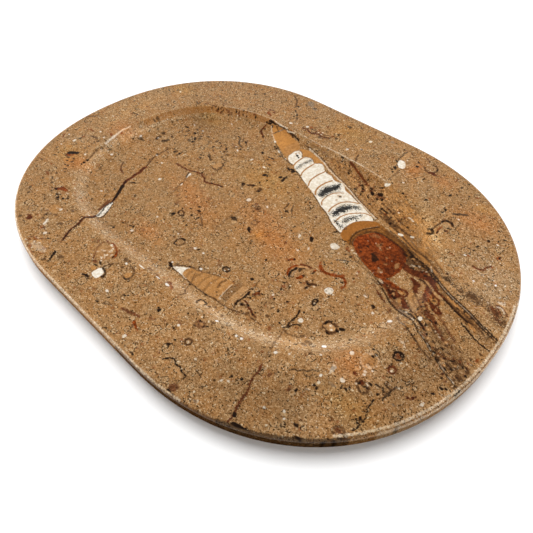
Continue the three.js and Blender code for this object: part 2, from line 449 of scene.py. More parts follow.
def living_chamber():
    """The living chamber: an ochre crescent, a dark ring and a brick-red oval."""
    area("amber", (64.6, 41.4), (63.4, 39.4), (61.6, 36.8), (59.4, 33.4), (57.6, 29.2), (56.8, 25),
         (57.8, 20.8), (59.2, 16.8), (55.7, 17.2), (52, 19.6), (50.6, 24.2), (50.8, 28.4),
         (51.7, 32.5), (53.8, 36), (56.6, 38.9), (59.4, 41.2), (61.6, 42))
    area("bronze", (65, 41.8), (70, 40.2), (77, 38.4), (84, 36.4), (90, 32.6), (91, 28.4),
         (84.3, 33), (78.6, 34.6), (74.3, 35), (69.3, 35.2), (65.9, 34.2), (63.8, 31.2),
         (61.8, 27.6), (60.4, 23.4), (60.8, 19.6), (62.6, 17), (59, 16.6), (57.6, 20.8), (56.9, 25),
         (57.8, 29.2), (59.6, 33.4), (61.8, 36.8), (63.6, 39.4), amount=0.95)
    area("brick", (65.7, 34.5), (69.3, 35.5), (74.3, 35.2), (78.6, 34.9), (84.3, 33.4), (88, 31.2),
         (90.6, 27.7), (91.6, 23.6), (92.2, 19.8), (91.4, 14), (89.8, 9.8), (86.6, 7.4),
         (83.4, 7.6), (80, 9), (74.6, 10.8), (70.4, 12.8), (66.4, 15), (63.4, 17.2), (60.9, 19.9),
         (60.2, 23.4), (61.5, 27.6), (63.5, 31.2))
    spots("rust", (76.4, 20.4, 6, 3.4, -40), (84, 25.6, 5.4, 2.6, -40), (66, 20, 4.4, 1.8, -30),
          (88, 27.6, 4, 3, -40), (82, 9.6, 4, 1.2, -10), (87.6, 15.6, 4.6, 6, -60),
          (81, 20, 4, 2.2, -50), (85.6, 31, 5.6, 2.4, -20), (71.6, 14, 5, 1.6, -30),
          (84.6, 19.6, 2.6, 2), amount=0.6)
    spots("buff", (68, 32.6, 5.6, 2.2, 10), (66, 30.4, 2.6, 1.6, 30), (73.6, 29.6, 2, 1.4),
          amount=0.25)
    spots("buff", (73.2, 27.2, 3.6, 3), (75.6, 25.2, 2, 1.4), (78, 28.6, 1.8, 1.2),
          (84.4, 12, 3, 3.4, 20), (84, 18.2, 2.2, 1.4, 30), (81.6, 22.6, 2, 0.9, -30), amount=0.4)
    spots("cream", (84.9, 22.4, 0.8, 0.7), (78.6, 30, 0.8, 0.7), (85.4, 11.6, 1.6, 1.2, 30),
          (82.4, 13.4, 1, 0.8), (74.6, 26, 0.8, 0.8), (71, 27.6, 0.7, 0.7), (66.6, 26.2, 0.6, 0.6),
          (82.4, 8.8, 0.8, 0.6), amount=0.5)
    area("black_and_dark_reflection", (73.6, 20.6), (75.4, 19.8), (77, 19.4), (79.4, 18.4), (79, 16.4), (77.8, 14.6),
         (76.4, 15.6), (75.6, 17.4), (74.2, 18.4), amount=0.9)
    spots("black_and_dark_reflection", (69.2, 22.5, 3.4, 1.2, -15), (68.2, 16.7, 1.8, 1.2), (73.8, 28.3, 0.9, 1.6, -10),
          (66, 18.2, 1.6, 0.7, -30), (88, 30.6, 3.4, 1.4, -30), (84, 33.6, 2.6, 0.6, -10),
          amount=0.85)
    area("buff", (88.6, 24.2), (89.8, 22.4), (90.2, 20.2), (89.4, 18.6), (88.4, 19.6), (87.6, 21.8),
         amount=0.8)
    dashes("black_and_dark_reflection", 1, ((61.6, 30), (64, 33.4), (67, 35.4), (71, 35.9), (76, 35),
                         (82, 34), (87.6, 32)), 4, 0.5, amount=0.7)
    dashes("black_and_dark_reflection", 0.8, ((65, 39.6), (62, 36), (59.4, 31.6), (58, 26.4), (58.6, 21), (60.4, 17.2)),
           3, 1, amount=0.7)
    dashes("umber", 0.8, ((61, 28), (59.8, 23.6), (60.6, 19.6), (63, 17)), 3, 0.5, amount=0.8)
    line("umber", 1.2, (64, 17), (69, 13.6), (74, 11), (79.6, 9.2), amount=0.6)


def net_ground():
    """Golden and dusky stone under the torn net where the living chamber ends."""
    area("strata", (84, 38.6), (92, 36), (100, 32.6), (108, 28), (114, 22), (126, 16.4), (138, 12),
         (140, 5), (130, 8), (120, 12.4), (112, 19), (104, 24), (92, 30), amount=0.7)
    area("dusk", (118, 16.6), (126, 14.2), (136, 11.4), (146, 7.6), (150, 5.4), (150, 1.4),
         (140, 5), (131, 8), (121, 11.6), amount=0.45)
    area("dusk", (130, -12), (139, -14.6), (150, -16), (150, -25), (141, -22), (131, -17.6),
         amount=0.35)


def dark_wedge():
    """The dark wedge behind the oval, with shell bits in it."""
    area("umber", (90.4, 31.8), (94, 30.8), (99, 29), (104, 26.6), (109, 22.8), (105, 23.6),
         (101, 25.2), (95, 25), (91.6, 26.4), amount=0.8)
    area("rust", (91.2, 25.6), (94, 24.8), (97, 24), (100, 24.6), (103, 25.2), (105.4, 24),
         (108.4, 22.4), (112.4, 19.4), (110, 18.9), (107, 19.8), (104, 20.3), (100, 20.6),
         (96, 20.8), (93, 21.6), (91, 23))
    spots("tan", (93.2, 30.2, 2.2, 1.4, 10), (97.6, 25.8, 2.4, 1, -10), (100.6, 26.8, 1.4, 0.8),
          (105.8, 23.8, 2, 1, -50), amount=0.8)
    spots("cream", (95.4, 26.2, 3, 1.2, 10), (98.6, 27.2, 1.6, 0.6, -20), (96, 29.2, 1, 0.5),
          (101.6, 25.6, 1.2, 0.6), (103.6, 25.3, 1.2, 0.7), amount=0.6)
    line("cream", 0.7, (103.8, 29.2), (104.8, 27.4), (106.4, 25.8), end=0.3, amount=0.5)
    spots("black_and_dark_reflection", (91.4, 31.2, 2.4, 1.6, -40), (94, 29, 2.4, 0.9, -30), (97, 27, 2.6, 0.9, 10),
          (96.6, 24.4, 4.6, 0.9, -4), (101.6, 24.2, 2, 0.8, -10), (88.6, 30.4, 2.2, 1.4, -30),
          (91, 28, 2.6, 0.8, -60), (104.6, 22.6, 1.4, 1.2), (99.6, 28.2, 2, 0.6, -20))


def upper_net():
    """The maroon net's upper branches."""
    area("rust", (98.8, 19.4), (100.6, 18.7), (104, 17.5), (106.2, 15.6), (106.4, 13.6),
         (107.2, 11.8), (108.2, 10.5), (106.6, 10.3), (105, 11.3), (103.7, 12.6), (103, 15),
         (101.4, 16.4), (99.5, 17.8))
    spots("brick", (101.2, 17.6, 2, 1, -30), (104.4, 16.2, 2.2, 1.4, -40), (105, 12.6, 1.6, 1, -50),
          (95, 22, 4, 0.8), (102.6, 22.8, 3.6, 1.4, -10))
    spots("buff", (106.7, 14.3, 1.8, 1, 40), (107.3, 12.2, 1, 0.8), (107.8, 15.8, 1.6, 0.7, -40),
          amount=0.8)
    line("umber", 0.9, (103.4, 19.8), (106.4, 18.6), (108.8, 16.8), (110.8, 14.6), (112.8, 12.2),
         (115, 10.6))
    line("rust", 1.9, (108.4, 20.2), (110.6, 18.2), (113, 15.6), (115.4, 14), (118.6, 13.2),
         (121.4, 12.4), end=0.8)
    line("umber", 0.6, (110.4, 19.6), (112.8, 17), (115.2, 15.4))
    line("rust", 1, (109.4, 15.4), (111.6, 13), (114, 11.2))
    line("brick", 1.5, (110, 13.4), (111.8, 11), (113.6, 9.4), (115, 8.6), end=0.8)
    line("rust", 0.9, (110.6, 11), (112.4, 8.2), (114.2, 5.8), (116.4, 4.4))
    line("brick", 0.8, (112.6, 9.4), (114, 7.4), (115.6, 6))
    line("rust", 0.9, (114.8, 10.2), (116.8, 10.5), (118.8, 9.4), (119.8, 7.4), (119.2, 6))
    area("ochre", (114.4, 9.6), (117, 9.8), (119, 8), (118, 6.4), (115.8, 6.8), amount=0.5)
    spots("umber", (117, 8, 1.6, 1.2, 30), (115.8, 9, 1.2, 0.7), (114.8, 7.2, 1.4, 0.7, -50))
    area("rust", (115.6, 6.7), (117.6, 5.9), (119.6, 5.7), (121.6, 5.3), (123.4, 4.4), (123.8, 3),
         (122.4, 1.9), (120.4, 2.1), (118.4, 3.1), (116.6, 4.6))
    spots("black_and_dark_reflection", (116.8, 6.2, 1.6, 0.7, -30), (120.6, 6, 1.2, 0.8), (119, 2.7, 2.6, 0.5, -20),
          amount=0.8)
    spots("ochre", (120.6, 9.4, 3, 2.4, -30), (117.6, 2.4, 3.6, 1.4, -10), (125, 6.6, 2.4, 1.6),
          (122, 1.2, 2.2, 0.8, -10), (114.4, 3.4, 1.6, 2.6, 30), amount=0.45)
    spots("buff", (116.6, 11.8, 4.4, 1.2, -20), (119.4, 12, 2, 0.9, -20),
          (108.4, 18.2, 2.8, 0.8, -40), amount=0.7)
    spot("grey", 127.6, 3.4, 5.4, 3.4, -20, amount=0.3)


def middle_net():
    """The net's golden, streaky middle cell."""
    area("amber", (108, 17.4), (112, 14.4), (117, 11.8), (119, 9.4), (116, 4.4), (113, 6),
         (109.8, 12), amount=0.4)
    area("ochre", (104.4, 10), (107.6, 9.6), (111, 7), (114.6, 1.6), (113.6, -0.6), (110, 0),
         (106.6, 3.2), (104.4, 6), amount=0.35)
    line("buff", 0.8, (104.6, 8.6), (105.8, 5.6), (108, 3.2), (110.4, 0.8), (112.2, -0.6),
         amount=0.7)
    line("buff", 0.7, (108.6, 7.6), (110.4, 4.6), (112.8, 1.4), amount=0.6)
    line("umber", 0.4, (106.8, 8), (108.6, 5), (111, 2.4), (113, 0.4), amount=0.6)
    line("umber", 0.4, (104.8, 6.6), (106.8, 3.8), (109.4, 1.2), (111.4, -0.8), amount=0.7)
    line("rust", 0.6, (112, 4), (113.6, 1.6), (115.4, -0.8), (117, -3), amount=0.7)


def lower_net():
    """The net's lower branches."""
    area("brick", (86, 9.6), (91, 9.9), (96, 9.7), (99.6, 9.3), (98.4, 7.5), (95, 7.7), (90.6, 7.5),
         (88, 7.4))
    area("rust", (89.6, 7.4), (94, 7.8), (98.4, 7.6), (98.4, 5.6), (100.6, 5), (102, 5.2), (101, 3),
         (99.8, 0.2), (97.6, 0.8), (95.8, 2.2), (94, 3.4), (91.4, 4.8), (89.4, 5.6))
    line("rust", 1.1, (98.6, 9), (101.4, 9.5), (103.6, 8.3), (104.1, 6.8), (102.8, 5.5),
         (100.2, 5.5), (98.4, 6))
    spots("ochre", (101.2, 7.4, 3.6, 2.2, -10), (99.4, 7.8, 2, 1), amount=0.8)
    spots("brick", (100.8, 8.2, 2.4, 0.7, -10), (102.4, 6.9, 1.4, 0.8, -40), (93, 8.6, 3, 0.6))
    spots("buff", (95.4, 5.7, 1.8, 0.9, -20), (98.2, 3.8, 1.4, 2.4, 30), (101, 6.8, 1.6, 0.7, 20),
          (97, 6.4, 1.4, 0.6, 20), (93.2, 6.2, 1, 0.6), (99.8, 1.4, 1, 0.8), amount=0.8)
    spots("black_and_dark_reflection", (95.2, 4.2, 1.8, 1, -25), (97, 5.4, 1.6, 0.7, 30), (96.8, 3.6, 0.8, 1.8, -20),
          (99.9, 2, 1.6, 1.4), (98.4, 2.4, 0.8, 1.4, 20), (92.4, 6.6, 1.4, 0.6, -30),
          (90.2, 10.2, 1.4, 0.9))
    area("rust", (102.2, 5), (104.4, 4.6), (106, 2.8), (107.6, 1), (109.6, -0.8), (109.2, -2),
         (107.2, -1.6), (105.6, -0.2), (104.4, 1.4), (103.2, 3.2))
    area("rust", (100.2, -0.2), (103, 0.6), (105.6, -0.6), (107.4, -2.4), (105, -3.6), (102, -2.4),
         amount=0.55)
    spots("ochre", (105, -0.4, 2.4, 1, -20), (103, 1.8, 2, 2.4, 20), (107.2, -2.2, 1.2, 0.6),
          amount=0.6)
    spots("cream", (88.6, 6.9, 3.2, 1.2, -20), (89.8, 6.1, 1.2, 0.8), amount=0.6)
    line("umber", 0.5, (85, 4.2), (88, 3.8), (91, 2.8), (94, 1.2), amount=0.7)
    line("rust", 0.7, (90.7, -0.1), (94.4, -2), (97.9, -3.4))
    spots("rust", (88, 1.6, 2.2, 1.4, -30), (102.4, -6, 3.4, 1.6, -40), (102.6, -8.2, 1, 0.8),
          amount=0.6)
    spots("umber", (95, -9.6, 1.6, 1.2, -30), (95.6, -10.8, 1.2, 0.8), (86, -10.4, 1.4, 0.7))


def net_tail():
    """Darker streaks in the net's tail."""
    dashes("umber", 0.8,
           ((104.4, 12.4), (108.4, 8), (112, 3.4), (116.4, -1), (121, -4.4), (127, -8)), 5, 1.2,
           amount=0.8)
    dashes("rust", 1.2, ((111.6, 8.4), (116, 2.2), (120.4, -0.6), (126, -5.4), (132, -9)), 4.4, 1.4,
           amount=0.8)
    dashes("umber", 0.7, ((108, 1), (112.4, -3.4), (117.6, -6.6), (123, -10)), 3.2, 1)
    dashes("rust", 0.9, ((121, 3.4), (126, 0.4), (131, -3), (136, -6)), 3.4, 1.6, amount=0.7)
    area("dusk", (126, -3), (136, -7), (146, -12), (146, -20), (136, -16), (124, -9), amount=0.4)


def net_crumbs():
    """Crumbs between the net and the rim."""
    area("rust", (117, -0.1), (119.6, 0.1), (122, -0.8), (124.6, -2.4), (124.8, -3.7),
         (122.6, -3.9), (120.8, -2.6), (118.2, -2.3), amount=0.9)
    spots("black_and_dark_reflection", (117.6, 0.1, 2.4, 0.6), (122, -3.6, 2, 0.8), (124.4, -3, 0.6, 1.4),
          (113.6, -0.8, 1.6, 0.7, -50), (119.8, -8.4, 3, 0.9, -20), (122, -9.6, 2.4, 1, -30),
          (121.4, -7, 1, 2, 20), (118.4, -7.6, 1.4, 0.9), (124.6, -11, 1.6, 0.8, -30))
    spots("rust", (128, -5.2, 3, 1.2, -10), (120.6, -8.8, 4.4, 2.4, -20),
          (115.6, -3.6, 2.4, 1.4, -40), (124, -11.6, 3, 1.6, -30), (122.2, -3.4, 1.8, 1.4),
          amount=0.6)
    spots("umber", (121.6, -11.4, 2, 0.8, -30), (126.6, -14.6, 2.6, 1.2, -30),
          (129, -12.4, 2, 1, -20), (132, -15.6, 2.4, 1.4, -20), (134.4, -18.6, 3, 1.2, -20),
          (137, -17, 2, 1, -10), (139.6, -19, 3.6, 1.4, -20), (141.2, -16, 2.4, 1.4, 20),
          (146, -21, 3.4, 1.8, -20), (143, -18, 2.4, 1.2), (147.4, -16, 2, 1.6),
          (145, -23, 2.6, 1, -20), (130.6, -7.2, 1.6, 1), (137, -13.4, 2.4, 0.8),
          (134, -10.4, 1.4, 1.2), (140, -9, 1.8, 0.8), (145.4, -9, 2, 1), (142.4, -13, 1.4, 1.4),
          (147.6, -4, 1.6, 1.2), (138, -2.4, 1.4, 0.8), amount=0.85)
    spots("black_and_dark_reflection", (131.6, -17.2, 2.4, 0.9, -20), (139.8, -16, 1.4, 0.7), (141.6, -19.8, 1.6, 1),
          (148, -18.4, 1.4, 1.2), (128.6, -15.8, 1.8, 0.8, -30), (133.6, -13.2, 2, 0.8),
          (139.6, -21.4, 2.6, 0.8, -25), (134.6, -19.4, 2.2, 0.7, -20), (144.8, -15.4, 1.2, 0.9))
    spots("brick", (134, -16.6, 1.2, 1), (146, -12, 1.6, 0.9), (124, -12.6, 1.4, 0.8),
          (147.8, -8, 1.2, 2), amount=0.8)
    spots("buff", (123.6, -8.4, 2, 1.4, -30), (129.6, -14, 2.2, 1.2, -30), (136.2, -18.2, 2, 1),
          (142, -17, 1.6, 1), (146, -13.4, 2, 1.2), (133, -9, 1.6, 1), (118.8, -5.2, 1.2, 2),
          (136, -14.6, 2, 0.8), (126, -12.4, 1.4, 1), amount=0.8)
    spots("calcite", (117.7, -5.7, 2, 2.6, 10))
    spots("cream", (136.4, -8.2, 0.8, 0.8), (129.4, -8.6, 1.4, 0.6), (146.6, -11.8, 1.2, 0.6),
          (133, -6.4, 0.7, 1.2), (140.4, -10.6, 0.7, 0.7), (126.6, -7, 0.9, 0.6), amount=0.7)


def smudges():
    """Smudges on the rim above the shell."""
    spots("dusk", (115.2, 25, 5.4, 3.6, -10), (130, 23, 10, 6, -10), (123.6, 22.4, 3.6, 3),
          (120, 23.6, 6, 2, -10), (142, 22.2, 8, 4, -20), (146, 18.6, 6, 3.4, -10))
    spots("rust", (141, 22.6, 6.6, 3, -20), (144.6, 18.8, 4, 2, -10), amount=0.4)
    spots("umber", (125.8, 20.9, 1.4, 0.8), (123.8, 22, 0.7, 2.4, -20), (123, 28.2, 1.4, 0.6, 30),
          (124.6, 28.6, 0.7, 1.4), (113, 28, 1.4, 1.6), (139.2, 21, 0.7, 1.6),
          (144.2, 18.4, 0.7, 1.4), (142, 17.8, 0.6, 1.2), (130.2, 25.2, 0.9, 0.7))
    spots("brick", (139.6, 23.8, 3, 1.4, -20), (143, 20, 2.4, 0.8, -20), amount=0.45)
    line("rust", 0.7, (140.4, 26.4), (142.6, 27.2), (145, 26.2), (147, 23.8), amount=0.9)
    line("cream", 0.8, (141, 25.8), (143.4, 26.2), (145.2, 24.4), amount=0.7)
    spots("cream", (141.8, 29.2, 4, 2, 10), (136.6, 25.2, 0.8, 0.7), amount=0.5)
    line("buff", 0.9, (115, 19.8), (118, 20.8), (121, 21.4), (124, 20.6), amount=0.8)


def shell_walls():
    """The two walls of the body chamber: dark, with a broken pale core, down over the rim."""
    upper = ((88, 33.6), (92, 31.6), (96, 30.2), (100, 28.8), (103, 27.6), (105, 26.4),
             (107.4, 24.4), (110, 22), (113, 20.2), (116, 18.6), (120, 17),
             (125, 15.4), (130, 14.1), (135, 12.5), (140, 10.5), (145, 9), (150, 7.4))
    line("grey", 1.1, *upper[8:15], amount=0.4)
    line("umber", 0.9, *upper[:8], amount=0.9)
    dashes("black_and_dark_reflection", 0.8, [(x, y + 0.5) for x, y in upper], 4, 0.7, amount=0.95)
    dashes("black_and_dark_reflection", 0.7, [(x, y - 0.8) for x, y in upper[3:]], 2.4, 0.9, amount=0.9)
    dashes("cream", 0.25, [(x, y - 0.1) for x, y in upper[8:14]], 3.4, 0.7, amount=0.5)
    line("umber", 0.9, (91, 36), (98, 33.6), (104, 30.2), (109, 26.4), amount=0.75)
    line("umber", 0.7, (96, 37), (102, 34), (108, 29.8), (112, 26.4), amount=0.7)
    line("ochre", 1.4, (88, 36.4), (95, 33.8), (101, 31.4), (105, 29.6), amount=0.8)
    line("ochre", 1.2, (92, 38), (100, 35), (106, 31.6), (111, 27.6), amount=0.7)
    line("umber", 1.2, (118, 13.4), (120.6, 12.7), (124, 11.5), (128, 9.9), (133, 8.5), (137, 8.2))
    dashes("black_and_dark_reflection", 0.7, ((119.6, 12.4), (123, 11.2), (127, 9.7), (131, 8.6), (135, 7.8)), 2.4, 0.8)
    line("umber", 1, (127, 11.6), (132, 10.8), (138, 8.8), (143, 7), amount=0.75)
    spots("black_and_dark_reflection", (127.6, 11.8, 1.2, 0.9), (131, 12.2, 1.2, 0.8), (135, 10.6, 0.8, 0.8))
    dashes("black_and_dark_reflection", 0.7, ((133.2, 5.1), (136, 4.2), (139, 2.8), (142, 1.5), (145, 0.7), (150, 0.1)),
           3, 0.5)
    lower = ((85, 6.4), (88, 5.6), (91, 4.2), (93, 2.7), (95.4, 1.2), (98, -0.4),
             (100.4, -1.8), (104, -3.2), (107.6, -4.8), (109.6, -5.5), (112, -7),
             (115, -8.8), (119, -11), (121, -12.4), (124.6, -13.9), (127, -15.4),
             (130, -17.4), (133, -19), (136, -20.6), (140, -22.6), (142.4, -23.7),
             (146, -25), (149.6, -26.4))
    line("umber", 0.8, (62, 12.4), (70, 9.2), (77, 7.8), (84, 6.6), amount=0.5)
    line("umber", 0.7, *lower, amount=0.75)
    dashes("black_and_dark_reflection", 0.6, [(x, y - 0.4) for x, y in lower[1:]], 3, 0.9, amount=0.85)
    line("grey", 1.2, (106.4, -3.4), (109, -4.2), (112, -5.8), (115.6, -8.2), end=0.7, amount=0.6)
    dashes("black_and_dark_reflection", 0.6, ((106.4, -2.9), (109.6, -3.6), (112.4, -5.2), (115.6, -7.6)), 2.4, 0.5)
    spots("cream", (109.9, -3.9, 1.6, 0.8, -20), (114.4, -8, 2.6, 0.6, -35),
          (115.4, -8.6, 0.9, 0.7), (132, -18.3, 0.9, 0.9), amount=0.8)
    for path in (lower[13:15], lower[15:17], lower[18:20], lower[20:22]):
        line("cream", 0.35, *path, amount=0.55)
    dashes("umber", 0.7, ((108, -8.6), (111, -11.4), (115, -14.2), (117, -15),
                          (120, -16.6), (122.6, -17.6), (127, -20), (133, -21.8)), 3, 0.6,
           amount=0.8)
    spots("black_and_dark_reflection", (119.6, -16, 2, 0.6, -25), (122, -17.6, 2, 0.8, -30))
    line("cream", 0.4, (109.6, -10.8), (112, -12.4), (114.6, -14), amount=0.35)
    spots("black_and_dark_reflection", (149.2, -26.4, 2.4, 1.4, -60), (148.8, -29, 1.4, 2.4))


def far_wall():
    """Golden-dark streaks that run across the dish's far wall beside the main fossil."""
    area("strata", (8, 67.4), (24, 69.4), (40, 68.8), (56, 66.4), (70, 62), (84, 54), (96, 45),
         (104, 36), (100, 32.6), (90, 36), (78, 40.4), (64, 45), (52, 49.6), (40, 54.6), (28, 59),
         (16, 62.6), amount=0.5)
    line("rust", 0.8, (20, 70), (25, 68.6), (30, 66.6), (35, 65), (39, 63.4))
    line("umber", 0.8, (18, 70.2), (23, 69), (28, 67.4), (33, 65.6), (40, 63.2), (46, 61.8),
         amount=0.7)
    line("umber", 0.7, (-10, 69), (-4, 68.6), (3, 67.6), (9, 67), amount=0.5)
    spots("black_and_dark_reflection", (13.6, 70.2, 3, 1, 10), (15, 68.5, 1.2, 0.8), (38.4, 60, 1.8, 1.4, -30),
          (36.4, 61.6, 2, 0.8, 20), (39.6, 58, 1.4, 1, 40), (43, 62, 1.8, 1),
          (45.6, 59.6, 3.4, 2, -20), (34.6, 57.2, 2.2, 1.2), (40, 55.6, 1.8, 0.9, -60),
          (50.4, 61, 3.8, 2.2), (48.4, 65, 2.4, 0.9, 20), (53.6, 58.4, 1.8, 1.4, -60),
          (50.8, 57.4, 1.6, 1.4), (49, 52, 2.2, 1.2, 30), (57.4, 52.8, 1.8, 1.6),
          (45, 56, 2.4, 0.8, -30), (62, 66.4, 2.4, 1, -20), (65, 65, 1.4, 0.8))
    spots("rust", (37.6, 63.2, 3.2, 1.2, -10), (44, 60.8, 2.4, 1.4), (50.6, 59.6, 4, 2.6),
          (35.4, 59, 1.8, 1.4), (39.4, 59, 2.4, 2.2), (53.4, 59.8, 2, 1.8), amount=0.8)
    spots("calcite", (50, 67.4, 3, 1.8), (51.4, 68.2, 1.4, 1), (67.8, 54.6, 1.2, 0.9),
          (78, 41.4, 3.2, 1.8, 10), (84.2, 43, 2.2, 1.4))
    spots("buff", (37, 58.4, 2.6, 2.2), (52.4, 56.6, 2.4, 1.6), (33, 60.4, 2, 1.8), amount=0.7)
    line("umber", 0.6, (52, 69.4), (58, 68.2), (64, 67.6), (69, 66), amount=0.6)
    line("umber", 0.7, (56, 56.4), (62, 54), (68, 51.2), (75, 48.2), amount=0.8)
    line("umber", 0.9, (57, 51), (63, 49.4), (70, 47), (77, 44.6), (84, 42.6), amount=0.85)
    line("umber", 0.8, (60, 47.4), (66, 46.4), (72, 44), (79, 41), (86, 37.8), (92, 35.2),
         amount=0.85)
    line("black_and_dark_reflection", 0.8, (58, 53), (60.4, 52), (62, 51.6))
    area("umber", (62, 49), (66, 48.6), (71, 46.6), (75, 44.4), (72, 43.6), (67, 44.8), (63, 46.4),
         amount=0.75)
    spots("black_and_dark_reflection", (68.4, 45.6, 2.4, 1.2), (71.4, 45.2, 1.4, 0.9), (65, 46.8, 1.4, 0.8))
    line("ochre", 1.2, (70, 42.6), (77, 40), (84, 37.6), (90, 34.8), amount=0.6)
    line("ochre", 1.3, (78, 41.8), (86, 38.8), (94, 34.4), (101, 30.8), amount=0.5)
    line("black_and_dark_reflection", 0.5, (72, 41), (79, 38.8), (86, 36.2), (92, 33.6), amount=0.6)
    area("umber", (70, 40.6), (76, 39.2), (83, 37.2), (89, 34.4), (91, 32.4), (86, 34), (79, 36.2),
         (71, 37.2), amount=0.55)
    area("dusk", (90, 38.6), (96, 35.8), (102, 32.4), (108, 28.8), (106, 27), (99, 30.4), (92, 34),
         amount=0.6)
    line("umber", 0.8, (60, 60.6), (66, 61.2), (72, 60.4), (78, 60), amount=0.45)
    line("umber", 0.8, (76, 50), (76.4, 54), (77, 60), amount=0.5)
    line("calcite", 0.8, (74.4, 54), (76.4, 53.6), (78.4, 52.6), amount=0.5)


def second_fossil():
    """The smaller ribbed cone on the near wall."""
    area("ochre", (8.6, -56.8), (15, -54.6), (20, -52), (25, -50), (30, -47.8), (33.4, -46.4),
         (34, -51), (34.6, -56), (36, -60.8), (30, -61.8), (20, -62.6), (9, -62.4), (8, -59.6),
         amount=0.62)
    area("umber", (34.4, -46), (38.2, -45.4), (38.6, -52), (39.2, -58.6), (37.2, -59), (35.4, -56),
         amount=0.4)
    area("buff", (38.4, -46), (41.8, -45.4), (42, -51), (42.6, -57), (39.6, -58), (38.8, -52),
         amount=0.7)
    area("calcite", (1.3, -62.2), (4, -60), (7, -57.8), (9.2, -56.5), (8.1, -58.8), (8.3, -60.6),
         (9.6, -62.6), (5, -62.7), amount=0.95)
    line("cream", 0.6, (9.4, -62.4), (11.4, -62.8), (13, -62.9), end=0.3, amount=0.8)
    for x in (4.4, 6.2):
        line("tan", 0.4, (x, -62.4), (x + 0.2, -60.6), (x + 1, -59.2 - (7 - x) * 0.4), amount=0.5)
    spots("black_and_dark_reflection", (-0.2, -62.4, 3.4, 1.8, -20), (8.3, -56, 1.2, 0.7, 20),
          (2.2, -63.2, 1.8, 0.7, -20))
    spots("umber", (-1.4, -61.8, 3, 1.6, -10), (0.8, -64.2, 1.2, 1.6))
    line("umber", 0.6, (1, -61), (4, -58.8), (7.6, -56.2), (10.6, -55), amount=0.85)
    for x, top, foot, amount in ((11.4, -56.2, -62.2, 0.4), (15.8, -54.8, -62.4, 0.5),
                                 (20.6, -52.4, -62.2, 0.35), (24.8, -50.4, -61.8, 0.4),
                                 (28.6, -49, -55.4, 0.7)):
        middle = (top + foot) / 2
        line("umber", 0.9, (x + 0.6, top), (x - 0.2, middle), (x + 0.9, foot), amount=amount)
        line("buff", 0.7, (x + 2.2, top - 0.6), (x + 1.4, middle), (x + 2.5, foot), amount=amount)
    line("cream", 0.6, (33.6, -48.8), (33.7, -52), (34.2, -55), (35, -59.4), amount=0.55)
    line("umber", 0.5, (34.3, -49.6), (34.4, -53), (34.9, -56.6), amount=0.9)
    line("umber", 0.4, (13.4, -56.4), (15, -59.6), (16.6, -62.2), (17.8, -64.6), (18.5, -66.6),
         (20, -69), (22.4, -71.4), (24, -75), amount=0.85)
    dashes("umber", 0.5, ((3, -62.9), (11, -63), (18, -63.1), (25, -62.9), (29.4, -62.6),
                          (34, -61.5), (39, -61.3), (44.4, -60.5), (49, -58.6),
                          (53, -57.1), (57, -56.9), (62, -56.6)), 3.4, 1, amount=0.9)
    line("umber", 0.4, (9.6, -55.8), (15, -54.2), (20, -51.7), (24.6, -49.8), amount=0.6)
    spots("black_and_dark_reflection", (34.6, -58, 1, 1), (17.8, -64.1, 1, 0.7), (28.4, -62.9, 2.2, 0.5, 10))
    spots("umber", (31.4, -57.8, 0.9, 0.8), (33, -59.2, 0.8, 0.7), (29.4, -53.6, 0.7, 0.9),
          (37.4, -57, 0.6, 0.9), (23.6, -49.8, 1, 0.6), (32.6, -47, 1, 0.6), amount=0.8)
    spots("cream", (36.6, -52.2, 1.4, 0.6), (35.8, -59.4, 1.2, 1), (24.8, -55.8, 0.8, 0.6),
          (41.8, -61.3, 1.6, 0.6), amount=0.6)


def wide_end_crumbs():
    """The black crumbs along the small cone's wide end, and the rusty ones beyond it."""
    line("umber", 0.4, (42.2, -38), (43.2, -41), (44.2, -43), amount=0.8)
    dashes("umber", 0.5, ((43.4, -43), (42.6, -45.6), (42.3, -49), (42.6, -53), (43.4, -56),
                          (45, -58.6)), 2, 0.6, amount=0.9)
    dashes("black_and_dark_reflection", 0.9, ((43.6, -45.6), (43.9, -48.4), (44, -51), (43.4, -53.6), (43.8, -56.2)),
           1.2, 0.6)
    dashes("buff", 0.6, ((42.9, -46.6), (43, -50), (42.8, -53.6)), 1.6, 0.8)
    spots("black_and_dark_reflection", (43.9, -47, 1.4, 2.4, 10), (44.3, -50.2, 1.3, 1), (44, -51.7, 1, 0.8),
          (43.6, -44, 1.4, 0.5), (44.2, -56.2, 0.7, 1.2), (47, -42.4, 1.2, 0.8),
          (49.2, -42.6, 1.4, 0.7), (46.6, -48.6, 1.1, 1.1), (49.2, -52.5, 1.8, 1.1),
          (54.8, -53.4, 1, 0.7), (49.2, -57.4, 1, 0.7), (46.2, -54.2, 2, 1.4, 20),
          (54.6, -55, 2, 0.6, -20))
    spots("umber", (43.7, -53.6, 1.4, 1.8), (48, -44, 2.4, 1.2), (47, -54, 2.6, 1.6, 20),
          (52.2, -56.2, 1.8, 1.6, 40), (46.4, -46, 1.2, 1.4), (56, -50.2, 0.8, 1.2),
          (54.4, -45.6, 0.6, 2.4), (59, -46, 0.7, 2), (60.6, -50.6, 1.6, 1.4), amount=0.85)
    spots("rust", (46.8, -51.9, 3, 0.7), (48, -43.2, 1.6, 1), (46.8, -45.2, 1.6, 1))
    line("rust", 0.8, (49.6, -53.4), (52.4, -54), (54.6, -54.8), (56.8, -55.2))
    spots("buff", (48.2, -42.2, 0.9, 1.2), (50.4, -55.6, 2, 0.7, -10), (53, -61, 2.2, 2.6),
          (54, -57.6, 1.6, 0.7), (51, -48.4, 1, 0.7), amount=0.7)
    spot("umber", 13.4, -53.2, 2.2, 1.8, rim=0.5, amount=0.8)


